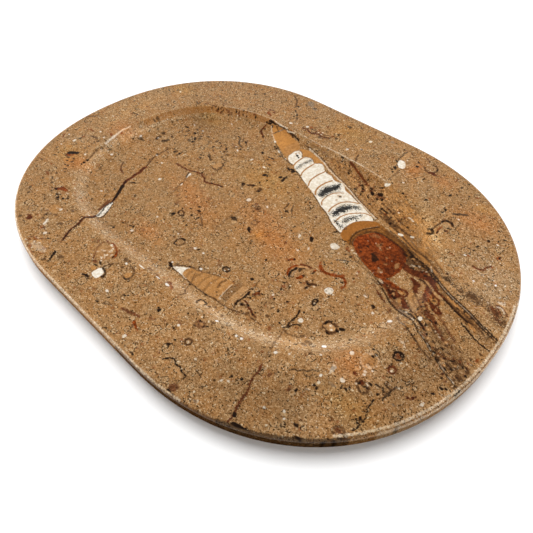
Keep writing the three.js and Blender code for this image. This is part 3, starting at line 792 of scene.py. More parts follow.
def cracks():
    """Old cracks and veins that cross the plate."""
    left = ((-79.8, -19.6), (-78, -29), (-77, -37), (-74.2, -42),
            (-72, -45.2), (-70, -48.4), (-68.2, -52), (-67, -56), (-66, -60),
            (-64, -64), (-62, -68), (-60.4, -72), (-58.6, -76), (-57.4, -80),
            (-56, -85), (-54, -90), (-51.5, -95))
    crack("rust", 1.9, *left, end=0.9)
    crack("umber", 0.45, (-85, 3.6), (-84.8, -4), (-84, -10), (-82, -15), (-79.8, -19.6))
    crack("black_and_dark_reflection", 0.9, *((x + 0.3, y) for x, y in left[2:]), amount=0.9, end=0.5)
    crack("black_and_dark_reflection", 2.4, (-74.6, -41.2), (-73.4, -43.2), (-71.2, -46.6), (-69.4, -49.8), (-68.2, -53),
          end=1.2)
    area("rust", (-69.6, -54), (-67.6, -56.4), (-66.4, -60.4), (-64.6, -64.2), (-66.4, -65),
         (-68.4, -60.6), (-69.8, -57), amount=0.8)
    area("calcite", (-66.8, -54.6), (-64.2, -56.6), (-61.6, -61.6), (-59.6, -68), (-60.8, -69.6),
         (-63.8, -66), (-66.2, -61.2))
    crack("black_and_dark_reflection", 0.6, (-64.6, -55.6), (-61.6, -60.4), (-59.6, -65.6), (-58.8, -69.6), amount=0.85)
    line("grey", 0.5, (-64.6, -58.4), (-62.4, -62.6), (-61, -66.4), amount=0.5)
    right = ((80.2, -74.4), (81, -77.4), (81.6, -81), (83.2, -85), (84.4, -89),
             (85.4, -92.6), (86.6, -96.6), (87.4, -99.6), (88.2, -103))
    crack("rust", 0.55, *right)
    dashes("umber", 0.5, right, 5, 3, amount=0.7)
    spots("buff", (88.4, -98.4, 1.6, 0.8, 30), (86.2, -99, 1.4, 0.7), (89.4, -101.2, 1.2, 0.8),
          (85, -95, 0.9, 0.7), amount=0.8)
    crack("umber", 0.5, (76.6, -64), (78, -68.4), (79.6, -72.6), amount=0.4)
    crack("black_and_dark_reflection", 0.5, (125, -55), (126.4, -61), (127.6, -66.6), (127, -70.4))
    crack("black_and_dark_reflection", 0.7, (122, -48.2), (125, -48), (128.4, -48.8), amount=0.9)
    crack("black_and_dark_reflection", 0.7, (128.4, -46), (128, -49), (128.2, -52.4), amount=0.9)
    dashes("black_and_dark_reflection", 0.5, ((90.8, -68.4), (92.2, -66.6), (93.8, -66), (95, -64.2), (96.8, -63.6),
                         (97.8, -61.6), (100.4, -60)), 1.6, 0.7, amount=0.85)
    dashes("buff", 0.5, ((91.6, -68.6), (94.4, -66.4), (97, -64.2), (100.8, -61)), 2.4, 1)
    crack("black_and_dark_reflection", 0.5, (95.2, -64.8), (97.6, -65.4), (99.6, -64.6), amount=0.7)
    dashes("black_and_dark_reflection", 0.7, ((70, -37), (71.2, -41), (71.2, -46), (71.8, -48.6), (70.6, -50.4)), 1.8,
           0.5)
    dashes("black_and_dark_reflection", 0.5, ((72.4, -48.8), (73.2, -46), (74.4, -44.4), (76.4, -43.4)), 2.4, 0.4)
    crack("umber", 0.4, (71.6, -50.2), (74.6, -51.6), (77.2, -50.6), (80, -49.4), (81.6, -46.6),
          amount=0.8)
    crack("umber", 0.5, (72, -53), (73.6, -57), (75.4, -61.4), (77.4, -65.6), amount=0.7)
    crack("black_and_dark_reflection", 1.4, (-46.6, -102), (-45.2, -105.4), (-43.4, -108.2), end=0.8)
    crack("umber", 0.8, (-60, 107), (-56, 104.2), (-52.6, 101), (-49.8, 97.8), (-48.2, 94.6),
          amount=0.85)
    spots("black_and_dark_reflection", (-47.8, 96.8, 2.6, 1.4, 10), (-45.4, 91.2, 2.6, 1, -30),
          (-40.8, 87.4, 1.4, 2, 20))
    crack("umber", 0.6, (-44, 90.4), (-40.4, 87), (-37.8, 83), (-36.4, 79.8), amount=0.5)
    dashes("black_and_dark_reflection", 0.65, ((46.4, -103), (47.4, -101.6), (49, -100), (51, -99.6), (52.6, -100.8),
                         (55, -100.2), (57.4, -101.4), (60, -101.2), (60.4, -103.2)), 3.6, 0.4)
    dashes("buff", 0.6, ((48, -102.4), (51, -101.2), (55, -102), (58.6, -103)), 2.4, 1.4)
    crack("rust", 1, (10, -99.6), (15, -98), (20.4, -96.4), amount=0.9)
    crack("rust", 0.9, (-68, -3.2), (-62, -2.6), (-56, -1.9), (-53.4, -0.4), (-50, 0.6), (-47, 0.9),
          (-44.6, 0), (-42, -1.4))
    crack("rust", 1, (-41, -2.6), (-37.6, -2), (-35, -0.6), (-33, 0), (-31, 1.2), (-28.6, 1.4))
    spots("black_and_dark_reflection", (-29.2, 1.4, 1.4, 1, 40), (-35.2, -0.8, 1.6, 0.8, 20), (-52.8, -0.6, 1.2, 0.8))
    crack("black_and_dark_reflection", 0.9, (-54.2, -3.4), (-53.4, -5.6), (-52.2, -7.8), amount=0.85)
    crack("calcite", 1.4, (-53, -3.8), (-52.2, -6), (-51.4, -7.6), end=0.8)
    crack("black_and_dark_reflection", 0.7, (-50, -13), (-49.6, -15.4), amount=0.8)
    spots("calcite", (-48.9, -14.6, 1, 2.4, 20))
    crack("umber", 0.5, (-52, -8), (-50, -13), (-48.4, -19), (-47.2, -24), amount=0.6)
    crack("umber", 0.5, (-6.4, 11), (-5.6, 2), (-5, -6), (-4.6, -14), (-3.4, -24), (-2.2, -32),
          amount=0.45)
    crack("black_and_dark_reflection", 0.6, (41.2, 103.6), (41, 99), (41.4, 95), (42.4, 91.4), amount=0.7)
    crack("umber", 0.8, (19.6, 79), (20.8, 76), (22.6, 73), amount=0.9)
    crack("umber", 0.6, (13, 110), (14, 104.6), (13.8, 99), (15.2, 93), (15.4, 89.6), amount=0.5)


def white_fragments():
    """Crystals and shell bits of white and grey calcite."""
    area("calcite", (-19.4, -91.6), (-17.6, -91.9), (-15.2, -92.6), (-14.6, -95), (-15.2, -97.6),
         (-17.4, -97.7), (-20, -97), (-19.8, -94.4))
    line("black_and_dark_reflection", 0.9, (-18.6, -91), (-16, -91.6), (-14, -92.6), (-13.6, -95), amount=0.9)
    spots("black_and_dark_reflection", (-20, -99.8, 3.8, 1.6, 10), (-22, -100.6, 1.6, 1))
    area("calcite", (42.8, 93.4), (45, 93.8), (46.8, 92.6), (48.4, 90.4), (49.4, 88.2),
         (48.8, 86.6), (46.4, 86), (44.6, 87.4), (43, 89.8), (42.4, 91.8))
    area("buff", (41.6, 104.6), (44.2, 104), (45.2, 100), (44.6, 95.6), (42.6, 94.2), (41.8, 98),
         amount=0.7)
    spots("black_and_dark_reflection", (42.2, 90.6, 1.2, 2.2, 20), (44.2, 87.2, 1.6, 0.8, -40), (44.4, 84.4, 2.6, 2.2),
          (44, 81.6, 2, 1.6, 30), (45.8, 79.6, 1.2, 1.8, 20), (41, 91.2, 1.8, 0.8),
          (45.6, 83, 1, 1.6))
    line("umber", 0.5, (48, 84), (48.4, 78), (48.2, 71), amount=0.6)
    spots("calcite", (55.4, 9.6, 5.2, 4.4), (56.6, 10.2, 3.4, 3), (72.9, -17.3, 4.6, 4.8),
          (74.3, -41.2, 2.6, 2.8), (110.4, -56.4, 2.6, 2), (105.4, -42.9, 2, 2),
          (115.2, -46.3, 1.5, 1.2), (115.6, -47.9, 1.4, 1.2), (117.2, -43.9, 1.1, 0.9),
          (106.6, -12.6, 2.4, 1.7, 30), (97.4, -13.3, 1.8, 1.2, 20), (88.6, -7.2, 2.4, 0.9),
          (92.4, -45.8, 2.4, 1.8, 30), (80.4, -66.2, 1.8, 1.6, 30), (102.2, -61, 1.4, 1.6),
          (103.8, -64.2, 1.2, 1.6), (-0.2, -45.1, 2, 1.6), (13.6, -52.9, 1.8, 1.5),
          (6, -44.4, 1.4, 1), (37.6, -86.8, 1.6, 1.2), (-4, -98.2, 2, 1.4), (-25.7, 81.4, 2.2, 2.4),
          (-37.2, 76.8, 3, 1.8, 20), (16.9, 97, 2.2, 2.8), (10.7, 79.2, 2, 1.8, -30),
          (17.4, 85.6, 1.4, 1.4), (56.6, 75.2, 1.4, 1.4), (42.3, -6.9, 1.5, 1.2),
          (36, 2.2, 1.2, 3, 15), (35.2, 3, 0.9, 1.4), (46, -1.8, 1, 2.8, 20),
          (-7.2, 4.4, 2.8, 3.2, -30), (5.4, 7.6, 2.2, 1.2, -40), (53.6, -39, 1.2, 1.4),
          (-34.6, 34.6, 1.5, 2.8, -20), (-49, 35.2, 2.2, 1.2, -20), (-23, 34.4, 2.6, 1.4),
          (-63.1, -20.9, 2.2, 2.4, -30), (-75.6, -9.3, 1.8, 1.2), (-37.4, -61.2, 2, 1.6, 20),
          (-16, -44.4, 1.6, 1, -20), (-36, -43.8, 1.4, 1.2), (-63.4, -98.7, 2.2, 2),
          (-70.8, -94.6, 1.4, 3.6, 25), (-72.2, -92.6, 1.2, 1.6), (-74, -82.6, 1.6, 1.8),
          (-52.4, -4.6, 1.4, 2, 10), (-80.2, -53.4, 2.2, 1.1), (-110.4, -43.6, 2.4, 1.2, -20),
          (-129.6, -39.8, 2, 3, 20), (-138.6, -38.4, 1.6, 1.2), (-132.4, -48.2, 2.2, 1, -20),
          (-125.8, -21.8, 2, 1.2, -20), (-118, -24.2, 1.8, 1.2, -20), (-106.2, -27.6, 1.4, 2),
          (-136, -4.4, 2.6, 1, -10), (-127.4, 50.8, 2.6, 1.3, -30), (113.2, 46.1, 1.9, 1, 20),
          (103.6, 51.8, 1.2, 1.1), (99.2, 87.6, 1, 1), (97.4, 68.6, 1.2, 1), (122.6, 65, 1.4, 1),
          (134.6, 37.8, 0.9, 1.4), (125, 33, 1.2, 0.9), (141, -42.6, 1.4, 2.6),
          (94.6, -88.4, 1.5, 1.1), (101.6, -84, 1.6, 1, -30), (103.6, -86.2, 1, 1.3),
          (75.2, -90.4, 1.3, 1.1), (72.8, -92.2, 0.9, 1.4), (85.4, -62.4, 1.1, 0.9),
          (95.8, -53.2, 1, 0.8), (48.4, -72.4, 1.6, 1.8), (-12, -81, 1.6, 1.4),
          (61.4, -72.2, 1.6, 1.4, 20), (64.2, -71.7, 1.6, 1.4), (24.1, -107.8, 1.8, 2),
          (-1.4, -60.4, 1.2, 1), amount=0.8)
    for x, y in ((73.6, -16), (72, -18.4), (74, -18.6), (71.6, -16.4)):
        spot("grey", x, y, 0.9, 0.7, amount=0.7)
    spots("cream", (118.6, -22.7, 3.2, 1.3, 5), (120.6, -24, 1.8, 0.8, -20), amount=0.65)
    spots("umber", (120, -23.3, 0.9, 0.5), (105.4, -42.9, 0.9, 0.8), (110.4, -56.5, 0.8, 0.7),
          (74.6, -41, 0.7, 0.7), amount=0.7)
    spots("grey", (104.1, -54.9, 2.2, 4.2, 5), (101.9, -70.2, 2.2, 1.3, 30), (71.9, -106, 2.2, 1.8),
          (57.2, -93.1, 1.5, 1.5), (129.4, -43.3, 1.6, 1, 20), (132.4, -51, 1.4, 1.2),
          (-43, 106, 8, 5, -40), (-37, 102.6, 5, 3, -30), (28, 106.4, 3.4, 2.8),
          (108.4, -61, 4, 1.6), (21, 9.6, 1.6, 0.8), (38.8, 1.4, 1, 1.2), amount=0.6)
    spots("cream", (103.4, -53.4, 1.2, 1), (104.4, -56.4, 0.9, 1.6), (102.4, -69.6, 1.2, 0.6, 30),
          (72.4, -105.4, 1.2, 0.8), (57, -92.9, 0.9, 0.9), (130.2, -43, 0.8, 0.6))


def right_slivers():
    """Grey and dark slivers, hooks and squiggles on the far right rim."""
    line("black_and_dark_reflection", 1.5, (93, 70.6), (95.2, 72.2), (97.4, 73.9), (99.4, 75.2), amount=0.75)
    line("grey", 0.7, (93.4, 71.4), (95.4, 73), (98.8, 75.4), amount=0.8)
    line("umber", 1.6, (91.6, 60.6), (92.2, 62.6), (94, 63.2), (96.4, 62.8), (97.6, 61.2))
    spots("black_and_dark_reflection", (93.4, 63, 2, 1.2, 10), (96.4, 62.8, 1.6, 1.2, -20), (91.8, 60.8, 1.2, 1.6))
    line("buff", 1, (92.8, 60.2), (94.6, 61.4), (96.8, 60.6), (98.4, 60), amount=0.8)
    line("umber", 0.9, (91.4, 58.8), (90.8, 55.4), (90.6, 52.6), (90.8, 50.4), amount=0.9)
    line("black_and_dark_reflection", 1.3, (88.4, 51.2), (90, 51.4), (91.8, 50.4), (92, 48.8), (89.6, 48.6), amount=0.9)
    line("brick", 1, (93.4, 56.8), (93.2, 53.2), (94.2, 50.4), amount=0.8)
    spots("black_and_dark_reflection", (93.8, 51.2, 1, 2), (96.8, 55.2, 1.6, 1, 20), (96.6, 58, 1, 1),
          (115.2, 56.2, 1.2, 2.6), (115, 52.4, 0.8, 1), (117.6, 64.4, 1.6, 2, 20),
          (88, 70.6, 1.4, 2.2, 20), (87.6, 67.4, 1.4, 1.2, 30), (75.2, 70.8, 1.8, 1.4, 30),
          (85.2, 95.2, 1, 2, 20), (83.4, 84.2, 1.2, 3.4), (92.4, 91, 1.2, 0.9),
          (85.6, 91.4, 0.8, 1.4), (127.8, 56.6, 1, 1.6), (123.8, 71, 1.6, 1), (121.8, 67.8, 1, 1.2),
          (79.4, 101.6, 0.8, 0.8), (86.8, 101.2, 1.4, 1), (105.4, 73, 0.8, 0.8),
          (118.2, 75.4, 1, 1.4))
    spots("brick", (76.4, 73, 1.2, 1), (80, 75, 1, 0.8), (96.6, 93, 2.4, 1.4, 30),
          (79.6, 99.4, 0.8, 4), (97, 55.4, 2, 1.6), (120.8, 41.4, 3, 1.2, -10),
          (124.6, 42.4, 2.4, 1, 20), (127.4, 47.8, 1.6, 1.4), (125.4, 44.8, 1, 2),
          (107.8, 42, 3.4, 1), (114.8, 47, 1.4, 1.2), (127.4, 56.2, 2.2, 3), amount=0.8)
    line("rust", 0.7, (120, 42), (123, 41.8), (125.4, 43.4), (125.6, 45.8), (127.2, 48.2))
    line("umber", 0.9, (52.2, 99.6), (54.6, 98.2), (57.6, 97.4), (59.8, 95.8), (62, 94.4),
         (64.2, 95.2), amount=0.9)
    line("umber", 0.9, (61, 102.8), (63, 103), (65, 101.6), (65.6, 99), (65.2, 96.6), amount=0.9)
    spots("rust", (65.6, 95.2, 4.4, 2.4, -10), (63.2, 94.6, 2, 1.2))
    spots("black_and_dark_reflection", (54.2, 95, 2.2, 2, 20), (52.4, 99.2, 1.4, 0.9), (65.6, 100.2, 0.9, 1.6))
    spots("buff", (55.4, 97.6, 3, 2.4, 10), (71.6, 86.4, 4.4, 5), amount=0.5)
    spots("rust", (55.2, 106.2, 2.4, 1.4, -30), (57.6, 104.4, 1.6, 1, -30), amount=0.7)
    line("umber", 0.7, (43.8, 105.2), (45.6, 103.6), (46.8, 103.8), amount=0.8)
    spots("umber", (141.4, 22.4, 5, 2.2, -10), (147.4, 19.2, 3, 1.8), (134.8, 22, 4, 1.2),
          amount=0.6)
    line("buff", 1, (140.4, 27.6), (142.4, 28), (145.4, 26.6), (147, 25), amount=0.8)
    line("rust", 0.7, (140.6, 26.6), (142.4, 24.2), (144.6, 22.4), amount=0.9)
    spots("black_and_dark_reflection", (114.8, 24.6, 4.6, 2.2, 0), (112.8, 24.4, 1.6, 1.6), amount=0.55)
    spots("umber", (129.2, 23.8, 5.2, 2.4, 20), (123.2, 23.8, 2.6, 1, 60), (137, 25, 2, 3),
          amount=0.5)
    spots("black_and_dark_reflection", (148.8, -27.6, 1.8, 2.6), (143.2, -30.6, 1.8, 1.4), (141.8, -35.2, 2, 1.2, 20),
          (144.6, -29.6, 1.4, 1), (121.6, -28.6, 3, 1.2, -50))


def right_rings():
    """Rings, dots and squiggles of sectioned shells on the near right rim."""
    spot("black_and_dark_reflection", 121.4, -30, 4.2, 4.4, rim=1)
    spot("brick", 121.4, -30.2, 2.6, 2.8, amount=0.8)
    spot("umber", 87.4, -34.6, 6.6, 6, rim=1.5)
    spots("black_and_dark_reflection", (92.2, -31.4, 3, 2, 30), (84.2, -33.4, 1.2, 3), (91, -33.8, 1.8, 1.4),
          (88.6, -38, 2.4, 1), (85.6, -31.4, 1.6, 1, 40), (95.2, -9.8, 2.4, 1.4),
          (113.8, -36.4, 1.8, 1.8), (113.2, -38, 1.6, 0.9), (111.4, -34.6, 1, 0.8))
    spot("buff", 87.6, -34.4, 3.6, 3.2, amount=0.9)
    spots("cream", (87, -33.6, 1.6, 1), (88.6, -35.2, 1, 1.2))
    spots("buff", (87.8, -34.4, 4.4, 3.6), (84.8, -35.6, 1.2, 1.6), (86.4, -31.2, 1.4, 0.8),
          (90.8, -32.2, 1, 1), (86, -37.6, 1.2, 0.8))
    spot("buff", 113.4, -40.6, 7.4, 6.6, 80, rim=1.4)
    spot("cream", 113.4, -40.6, 8.2, 7.4, 80, rim=0.5, amount=0.5)
    spot("tan", 113.2, -39.8, 4, 4.6, amount=0.7)
    spots("cream", (114.4, -43.2, 2.6, 1.2, -10), (111.6, -37.8, 1.4, 0.7, 30), amount=0.6)
    spot("black_and_dark_reflection", 113.8, -36.4, 1.6, 1.6)
    spots("umber", (110.6, -38.6, 0.8, 2), (116, -38, 0.7, 1.8), (112.6, -44.8, 2.4, 0.6))
    spots("calcite", (104.1, -54.8, 1.8, 4, 0), amount=0.8)
    spot("ochre", 113.8, -41.2, 4.4, 5.4, amount=0.75)
    for y in (-39.2, -40.6, -42, -43.4):
        line("umber", 0.45, (111.8, y + 0.3), (113.8, y - 0.2), (115.8, y + 0.3), amount=0.8)
    spot("rust", 123.2, -37.6, 3.4, 3.4, rim=0.8)
    spot("cream", 123.4, -38.2, 1.3, 1)
    line("umber", 0.8, (117, -54.6), (115.2, -52.8), (117.4, -50.8), (120.2, -51.2), (121.2, -53.6),
         (119.6, -55.6), (118, -54.8), amount=0.9)
    spots("black_and_dark_reflection", (120.2, -49.6, 1.8, 1), (116.4, -52.6, 1.2, 1.6), (119.4, -52.4, 2.6, 0.8, 10),
          (114, -58.8, 1.6, 1.2), (114.8, -56.8, 1, 2, 20), (125, -51.2, 1, 1.4))
    spots("cream", (119.4, -50.8, 1.8, 0.8), (115.6, -53.8, 1.2, 0.8))
    spots("rust", (112.6, -50, 2.6, 1), (117, -51.8, 2, 2), (136.8, -42.4, 1.2, 2.6, -20),
          (135.4, -44, 1.8, 1))
    line("umber", 0.8, (125.2, -44.6), (126.4, -46), (128.4, -45.8), (128.8, -43.8), amount=0.9)
    spots("umber", (85, -48.6, 4, 2.2, 20), (84.6, -51.2, 3.2, 2), (91.6, -55.4, 2.2, 1.6),
          (80.6, -47.6, 1.4, 2.6, -30), amount=0.65)
    spot("umber", 123, -75.4, 5.2, 4, -10, amount=0.75, rim=1)
    spots("rust", (122.6, -75, 3.2, 2, -10), (96.6, -75.2, 1, 2.6), (86, -76, 1.2, 2.4), amount=0.8)
    spots("black_and_dark_reflection", (87.9, -98.8, 2.4, 1.6, -20), (91.6, -101.4, 5.4, 1.8, 20),
          (95.6, -100, 2.4, 1.2, 20), (113, -88.4, 4, 1.4, 20), (109, -85, 2.4, 1.4, -20),
          (123.6, -79.4, 3, 1.8, 20), (120.8, -82.6, 2.6, 1.6, 20), (104.6, -67, 1.4, 1.6),
          (103.2, -66.4, 2, 1), (99, -73.6, 1.2, 1.6), (78.8, -85.8, 1.2, 1), (87.6, -70, 1, 0.8),
          (126, -64.8, 1.4, 1.6), (126.6, -67.2, 1.8, 0.8), (139, -58, 1.6, 2))
    cloud((1.25, 1.32, 1.45), 113, -78, 15, 17)


def floor_marks():
    """Rings, commas and dots in the middle of the dish's floor."""
    spots("black_and_dark_reflection", (42.5, 5, 4.6, 2.2, -52), (43.6, 4, 1.6, 1.2), (7, 34, 0.8, 0.8))
    spot("black_and_dark_reflection", -2, -13.4, 4.4, 2.6, 0, amount=0.85)
    spots("tan", (-1.6, -13.2, 1.8, 1.2), (-3.4, -13.4, 0.9, 0.8))
    line("black_and_dark_reflection", 0.9, (9.9, -12.8), (10.6, -14.2), (12.2, -15), (13.2, -15.2))
    spots("black_and_dark_reflection", (10.2, -13, 1, 1.2), (11.8, -14.2, 1.4, 0.9, -40))
    spot("umber", 2, 2.6, 3.4, 3, rim=0.7, amount=0.8)
    spots("umber", (3.2, 1.6, 1.4, 1, 30))
    spot("umber", 9.4, -7.4, 3.6, 4.6, rim=0.7, amount=0.6)
    spots("umber", (8.4, -5.6, 1.2, 1.6), (11, -9, 1, 2, 30), (10.6, -5, 2, 0.8), amount=0.7)
    line("brick", 1.3, (43.8, -15.4), (44.4, -14.4), (45.6, -13.2))
    spots("black_and_dark_reflection", (43.6, -15.6, 0.8, 0.9), (45.4, -13.2, 1, 0.8), (34.6, -24.2, 1.8, 1, -30),
          (21.8, 28.2, 1.8, 0.9, -40), (25.6, 24.4, 1.6, 0.8, -50), (16.4, 12.2, 1.6, 1.6),
          (0.4, 12, 1.4, 0.9, -50), (28.8, 5.8, 1, 1.4), (29.6, 2.2, 1.2, 1), (16.6, 1, 1.2, 0.8),
          (49.2, 19.8, 1.6, 0.9), (18.2, 6.8, 0.9, 1.4, 20), (28.4, 5.4, 0.8, 0.8),
          (1.6, -7.4, 1.2, 0.9), (4.6, -21.6, 1, 0.7), (30.4, 12, 0.8, 0.8), (57.6, 17, 2, 0.7, 20),
          (52, 35, 0.7, 1))
    line("umber", 0.8, (12.8, 19), (13.4, 17), (14, 13.6), amount=0.9)
    line("buff", 0.7, (15, 19.6), (16.2, 17), (17.6, 14.6), (19.6, 12.6))
    line("umber", 0.5, (15.8, 19.8), (17.2, 17), (18.8, 14.8), (20.4, 13), amount=0.8)
    line("umber", 0.5, (16, 14.6), (16.8, 11.6), (18.2, 8.2), amount=0.5)
    spots("rust", (32.6, 21.2, 2.2, 1.4, -30), (33.8, -7.2, 1.2, 2, 20), (38.4, -7.6, 1.2, 0.9),
          (23, -9.6, 2, 0.8), (-1, 4.6, 2, 2.4), (6.4, 26.2, 1.4, 1.4), amount=0.7)
    spots("ochre", (34, 26, 2.6, 2, -20), (18.2, -13.4, 3.6, 4), (31, 5, 4.6, 6),
          (46.8, -1.6, 3.6, 4.6), (28.6, -7.6, 2.4, 2), amount=0.35)


def rusty_curls():
    """Brick-red curls and black bits on the floor below the oval."""
    line("brick", 1.9, (59, -7.4), (61.2, -8.6), (64, -8.9), (67, -8), (70, -6.4), (73, -5.4),
         (75.6, -6.8), (77, -9.4), end=1.2)
    spots("brick", (68.6, -6.8, 3.4, 2.4, 20), (71.8, -4.4, 2.4, 2, 30), (61.6, -9.2, 2.6, 1.8),
          (76.6, -10.8, 1.8, 2.2), (57.4, -5.4, 1.2, 2.4), amount=0.9)
    spots("black_and_dark_reflection", (65.4, -5.4, 1.2, 0.9), (59.8, -4.8, 1, 0.8), (70.4, -8.2, 1.8, 0.8, 20),
          (54.6, -2.2, 1, 0.8), (66.8, 9.2, 2, 1.2, 20), (63.8, 9, 0.9, 1.2),
          (58.6, -3.6, 0.8, 0.8), (74.6, -8.4, 1.6, 0.8, -20))
    spots("brick", (61.6, 13.4, 1.6, 2.4), (63.4, 12.6, 1.2, 1.2), (76.4, 3.4, 1.4, 2.4),
          (77.4, 0.6, 1, 1.4), (78.6, -3.6, 1, 1.2), (67.4, 10.8, 1.8, 0.8), amount=0.75)
    spots("cream", (66.8, 13.2, 2.4, 1.2, 10), (64.6, 13.8, 1.2, 1), (76.4, 2.4, 1.2, 1.4),
          (72.4, 4.4, 1.2, 0.9), (57, 0.6, 1, 1.4, 30), (60.4, 7, 0.8, 1.6), amount=0.8)
    line("rust", 1, (50.6, -13.6), (53, -12.6), (56.4, -11.6))
    line("brick", 1.1, (50.2, -15.2), (48.6, -17.6), (48, -19.8), (49, -22.4), (50, -24))
    line("buff", 1.3, (54.6, -13), (52, -14.4), (50.4, -16.8), (49.6, -19))
    line("black_and_dark_reflection", 1.3, (50.6, -17), (49.9, -20), (50.4, -22.6), (51.4, -24.4), end=0.7)
    spots("black_and_dark_reflection", (52.6, -16.6, 2.2, 2.8, 20), (53.6, -14.6, 2, 1, 20), (56.8, -18.6, 1.2, 2, 10),
          (59.2, -13.4, 1, 2.6), (58.6, -23.4, 1.4, 0.8), amount=0.85)
    spots("brick", (56.2, -20.4, 2, 4, -15), (55.2, -22.2, 1.6, 1.4), (59, -12, 1.2, 3),
          (49, -16, 1.2, 1.4))
    line("grey", 1, (51.4, -19), (52.2, -21.8), (51.6, -24), amount=0.5)
    line("umber", 1.3, (60.6, -20.4), (62.4, -21.4), (64, -19.8), (65.6, -19))
    line("umber", 1, (63.4, -21), (63.2, -23), (62.8, -25), amount=0.9)
    spots("black_and_dark_reflection", (62.6, -21.2, 2.6, 1, 10), (63, -23.6, 0.9, 1.8))
    spots("cream", (65.4, -20.4, 1.2, 0.8, 30), (61.6, -12.6, 0.6, 1))
    line("grey", 1, (62.6, 2.6), (64.4, 4), (66.4, 5.4), (68.4, 6), amount=0.8)
    line("black_and_dark_reflection", 0.6, (62.8, 2.8), (64.2, 3.6), (66.8, 5.6), amount=0.7)
    spots("black_and_dark_reflection", (67.6, 5.6, 1.8, 0.9, -20))
    line("black_and_dark_reflection", 0.9, (70.8, -27.4), (71.6, -25.9), (72.8, -26.4), (73, -27.8), (73.4, -29.4),
         (72.4, -29.8), (71.2, -28.4), closed=True)
    line("black_and_dark_reflection", 0.6, (71.6, -27.8), (72.6, -27.4), amount=0.9)
    spot("cream", 72.5, -28.6, 0.9, 1, amount=0.7)
    line("buff", 0.7, (77.4, -22.8), (81, -22.6), (84, -23.4), amount=0.9)
    spots("black_and_dark_reflection", (52.2, -29.4, 2, 0.9), (54.2, -33.4, 1, 1.6), (72.2, -36.4, 1.2, 1),
          (86, -10.4, 0.9, 0.7), (75.2, -20.4, 0.9, 0.8), (90.4, -17, 0.8, 0.8),
          (90.6, -26.8, 0.8, 0.9), (38.4, -39, 2, 1.6), (62.6, -44.8, 1.6, 1.4),
          (56, -40.4, 1.2, 0.8), (67.8, -49.6, 0.9, 0.9), (62, -37.4, 1, 1.2))
    spots("brick", (53.8, -31, 1.8, 2.4), (47, -43.6, 1.4, 2.6, -20), (54.2, -40.6, 0.8, 3.4),
          (66.4, -55.4, 1.8, 2.6, 20), (62.4, -37.6, 1.8, 1.2), amount=0.7)


def near_marks():
    """Rings, hooks and dots on the near wall and on the rim before it."""
    spot("black_and_dark_reflection", 23.7, -43.8, 3.8, 3, amount=0.95, rim=1.1)
    spot("umber", 23.8, -43.8, 2.6, 1.8, amount=0.7)
    spots("cream", (23.6, -45, 1.4, 0.7), (24.6, -43, 0.8, 0.7))
    spots("rust", (19.2, -44.4, 2.4, 1.8, 30), (16.8, -42.8, 1.4, 1), (33, -47.4, 2.2, 0.9),
          (-1.2, -47.2, 2.2, 3.4, 30), (4.2, -53.4, 2, 1.4), amount=0.5)
    line("black_and_dark_reflection", 0.8, (29.4, -67), (31.4, -66.4), (33.6, -66.8), (34.2, -68.8), amount=0.9)
    line("black_and_dark_reflection", 0.8, (29.4, -67.2), (30, -69), (31, -70.4))
    area("buff", (30.8, -67.4), (33.2, -67.2), (33.4, -69.4), (31.4, -69.8))
    spots("umber", (38.6, -65, 2, 0.8, -20), (45.2, -66.8, 1.2, 1.8), (44.6, -66, 1.4, 0.8),
          (48.4, -75, 1.2, 2, 20), (36.4, -67, 1, 1.6), amount=0.8)
    spot("rust", 44.6, -79.6, 5.6, 4.2, 20, amount=0.6)
    spots("tan", (45, -79, 1.8, 1.4), (43, -80.4, 1.2, 1), amount=0.9)
    spots("black_and_dark_reflection", (43.4, -78, 1.4, 0.7), (46.6, -79.4, 0.7, 1.6), (43, -81.8, 1.6, 0.6),
          (48, -78, 1.6, 0.8, 20), (24, -87.8, 2, 2.2), (22.8, -87, 1.2, 0.8), (42.6, -93, 1.2, 1),
          (42.2, -96.6, 2, 1.4, 20), (43, -95.2, 1, 0.8), (35.8, -79.4, 1, 0.8),
          (37.2, -89.4, 0.9, 1), (4.6, -94, 1.6, 1), (5.8, -92.8, 1.4, 0.8),
          (-2.2, -105.2, 1.6, 0.9), (14, -111.2, 2, 1), (74.6, -88, 1, 2))
    spot("umber", 47.8, -89.6, 3.2, 3.2, rim=0.8)
    spot("cream", 47.8, -89.7, 1.4, 1.2, amount=0.8)
    line("brick", 1.5, (20.8, -100), (22.8, -100.8), (25.8, -101.6), end=0.6)
    line("umber", 0.6, (21.6, -101), (22.6, -102.6), (23.2, -105), amount=0.8)
    spots("rust", (24.8, -93.4, 1.6, 2.2, -30), (37, -85.6, 3.4, 1, -20), (31, -89.6, 2.2, 0.7),
          (26.6, -92.6, 1, 0.8), amount=0.6)
    line("umber", 0.7, (0.8, -103.6), (3.4, -102.4), (5.2, -101.6), amount=0.7)
    spot("rust", 60.4, -108.4, 4, 3.4, 20, amount=0.8)


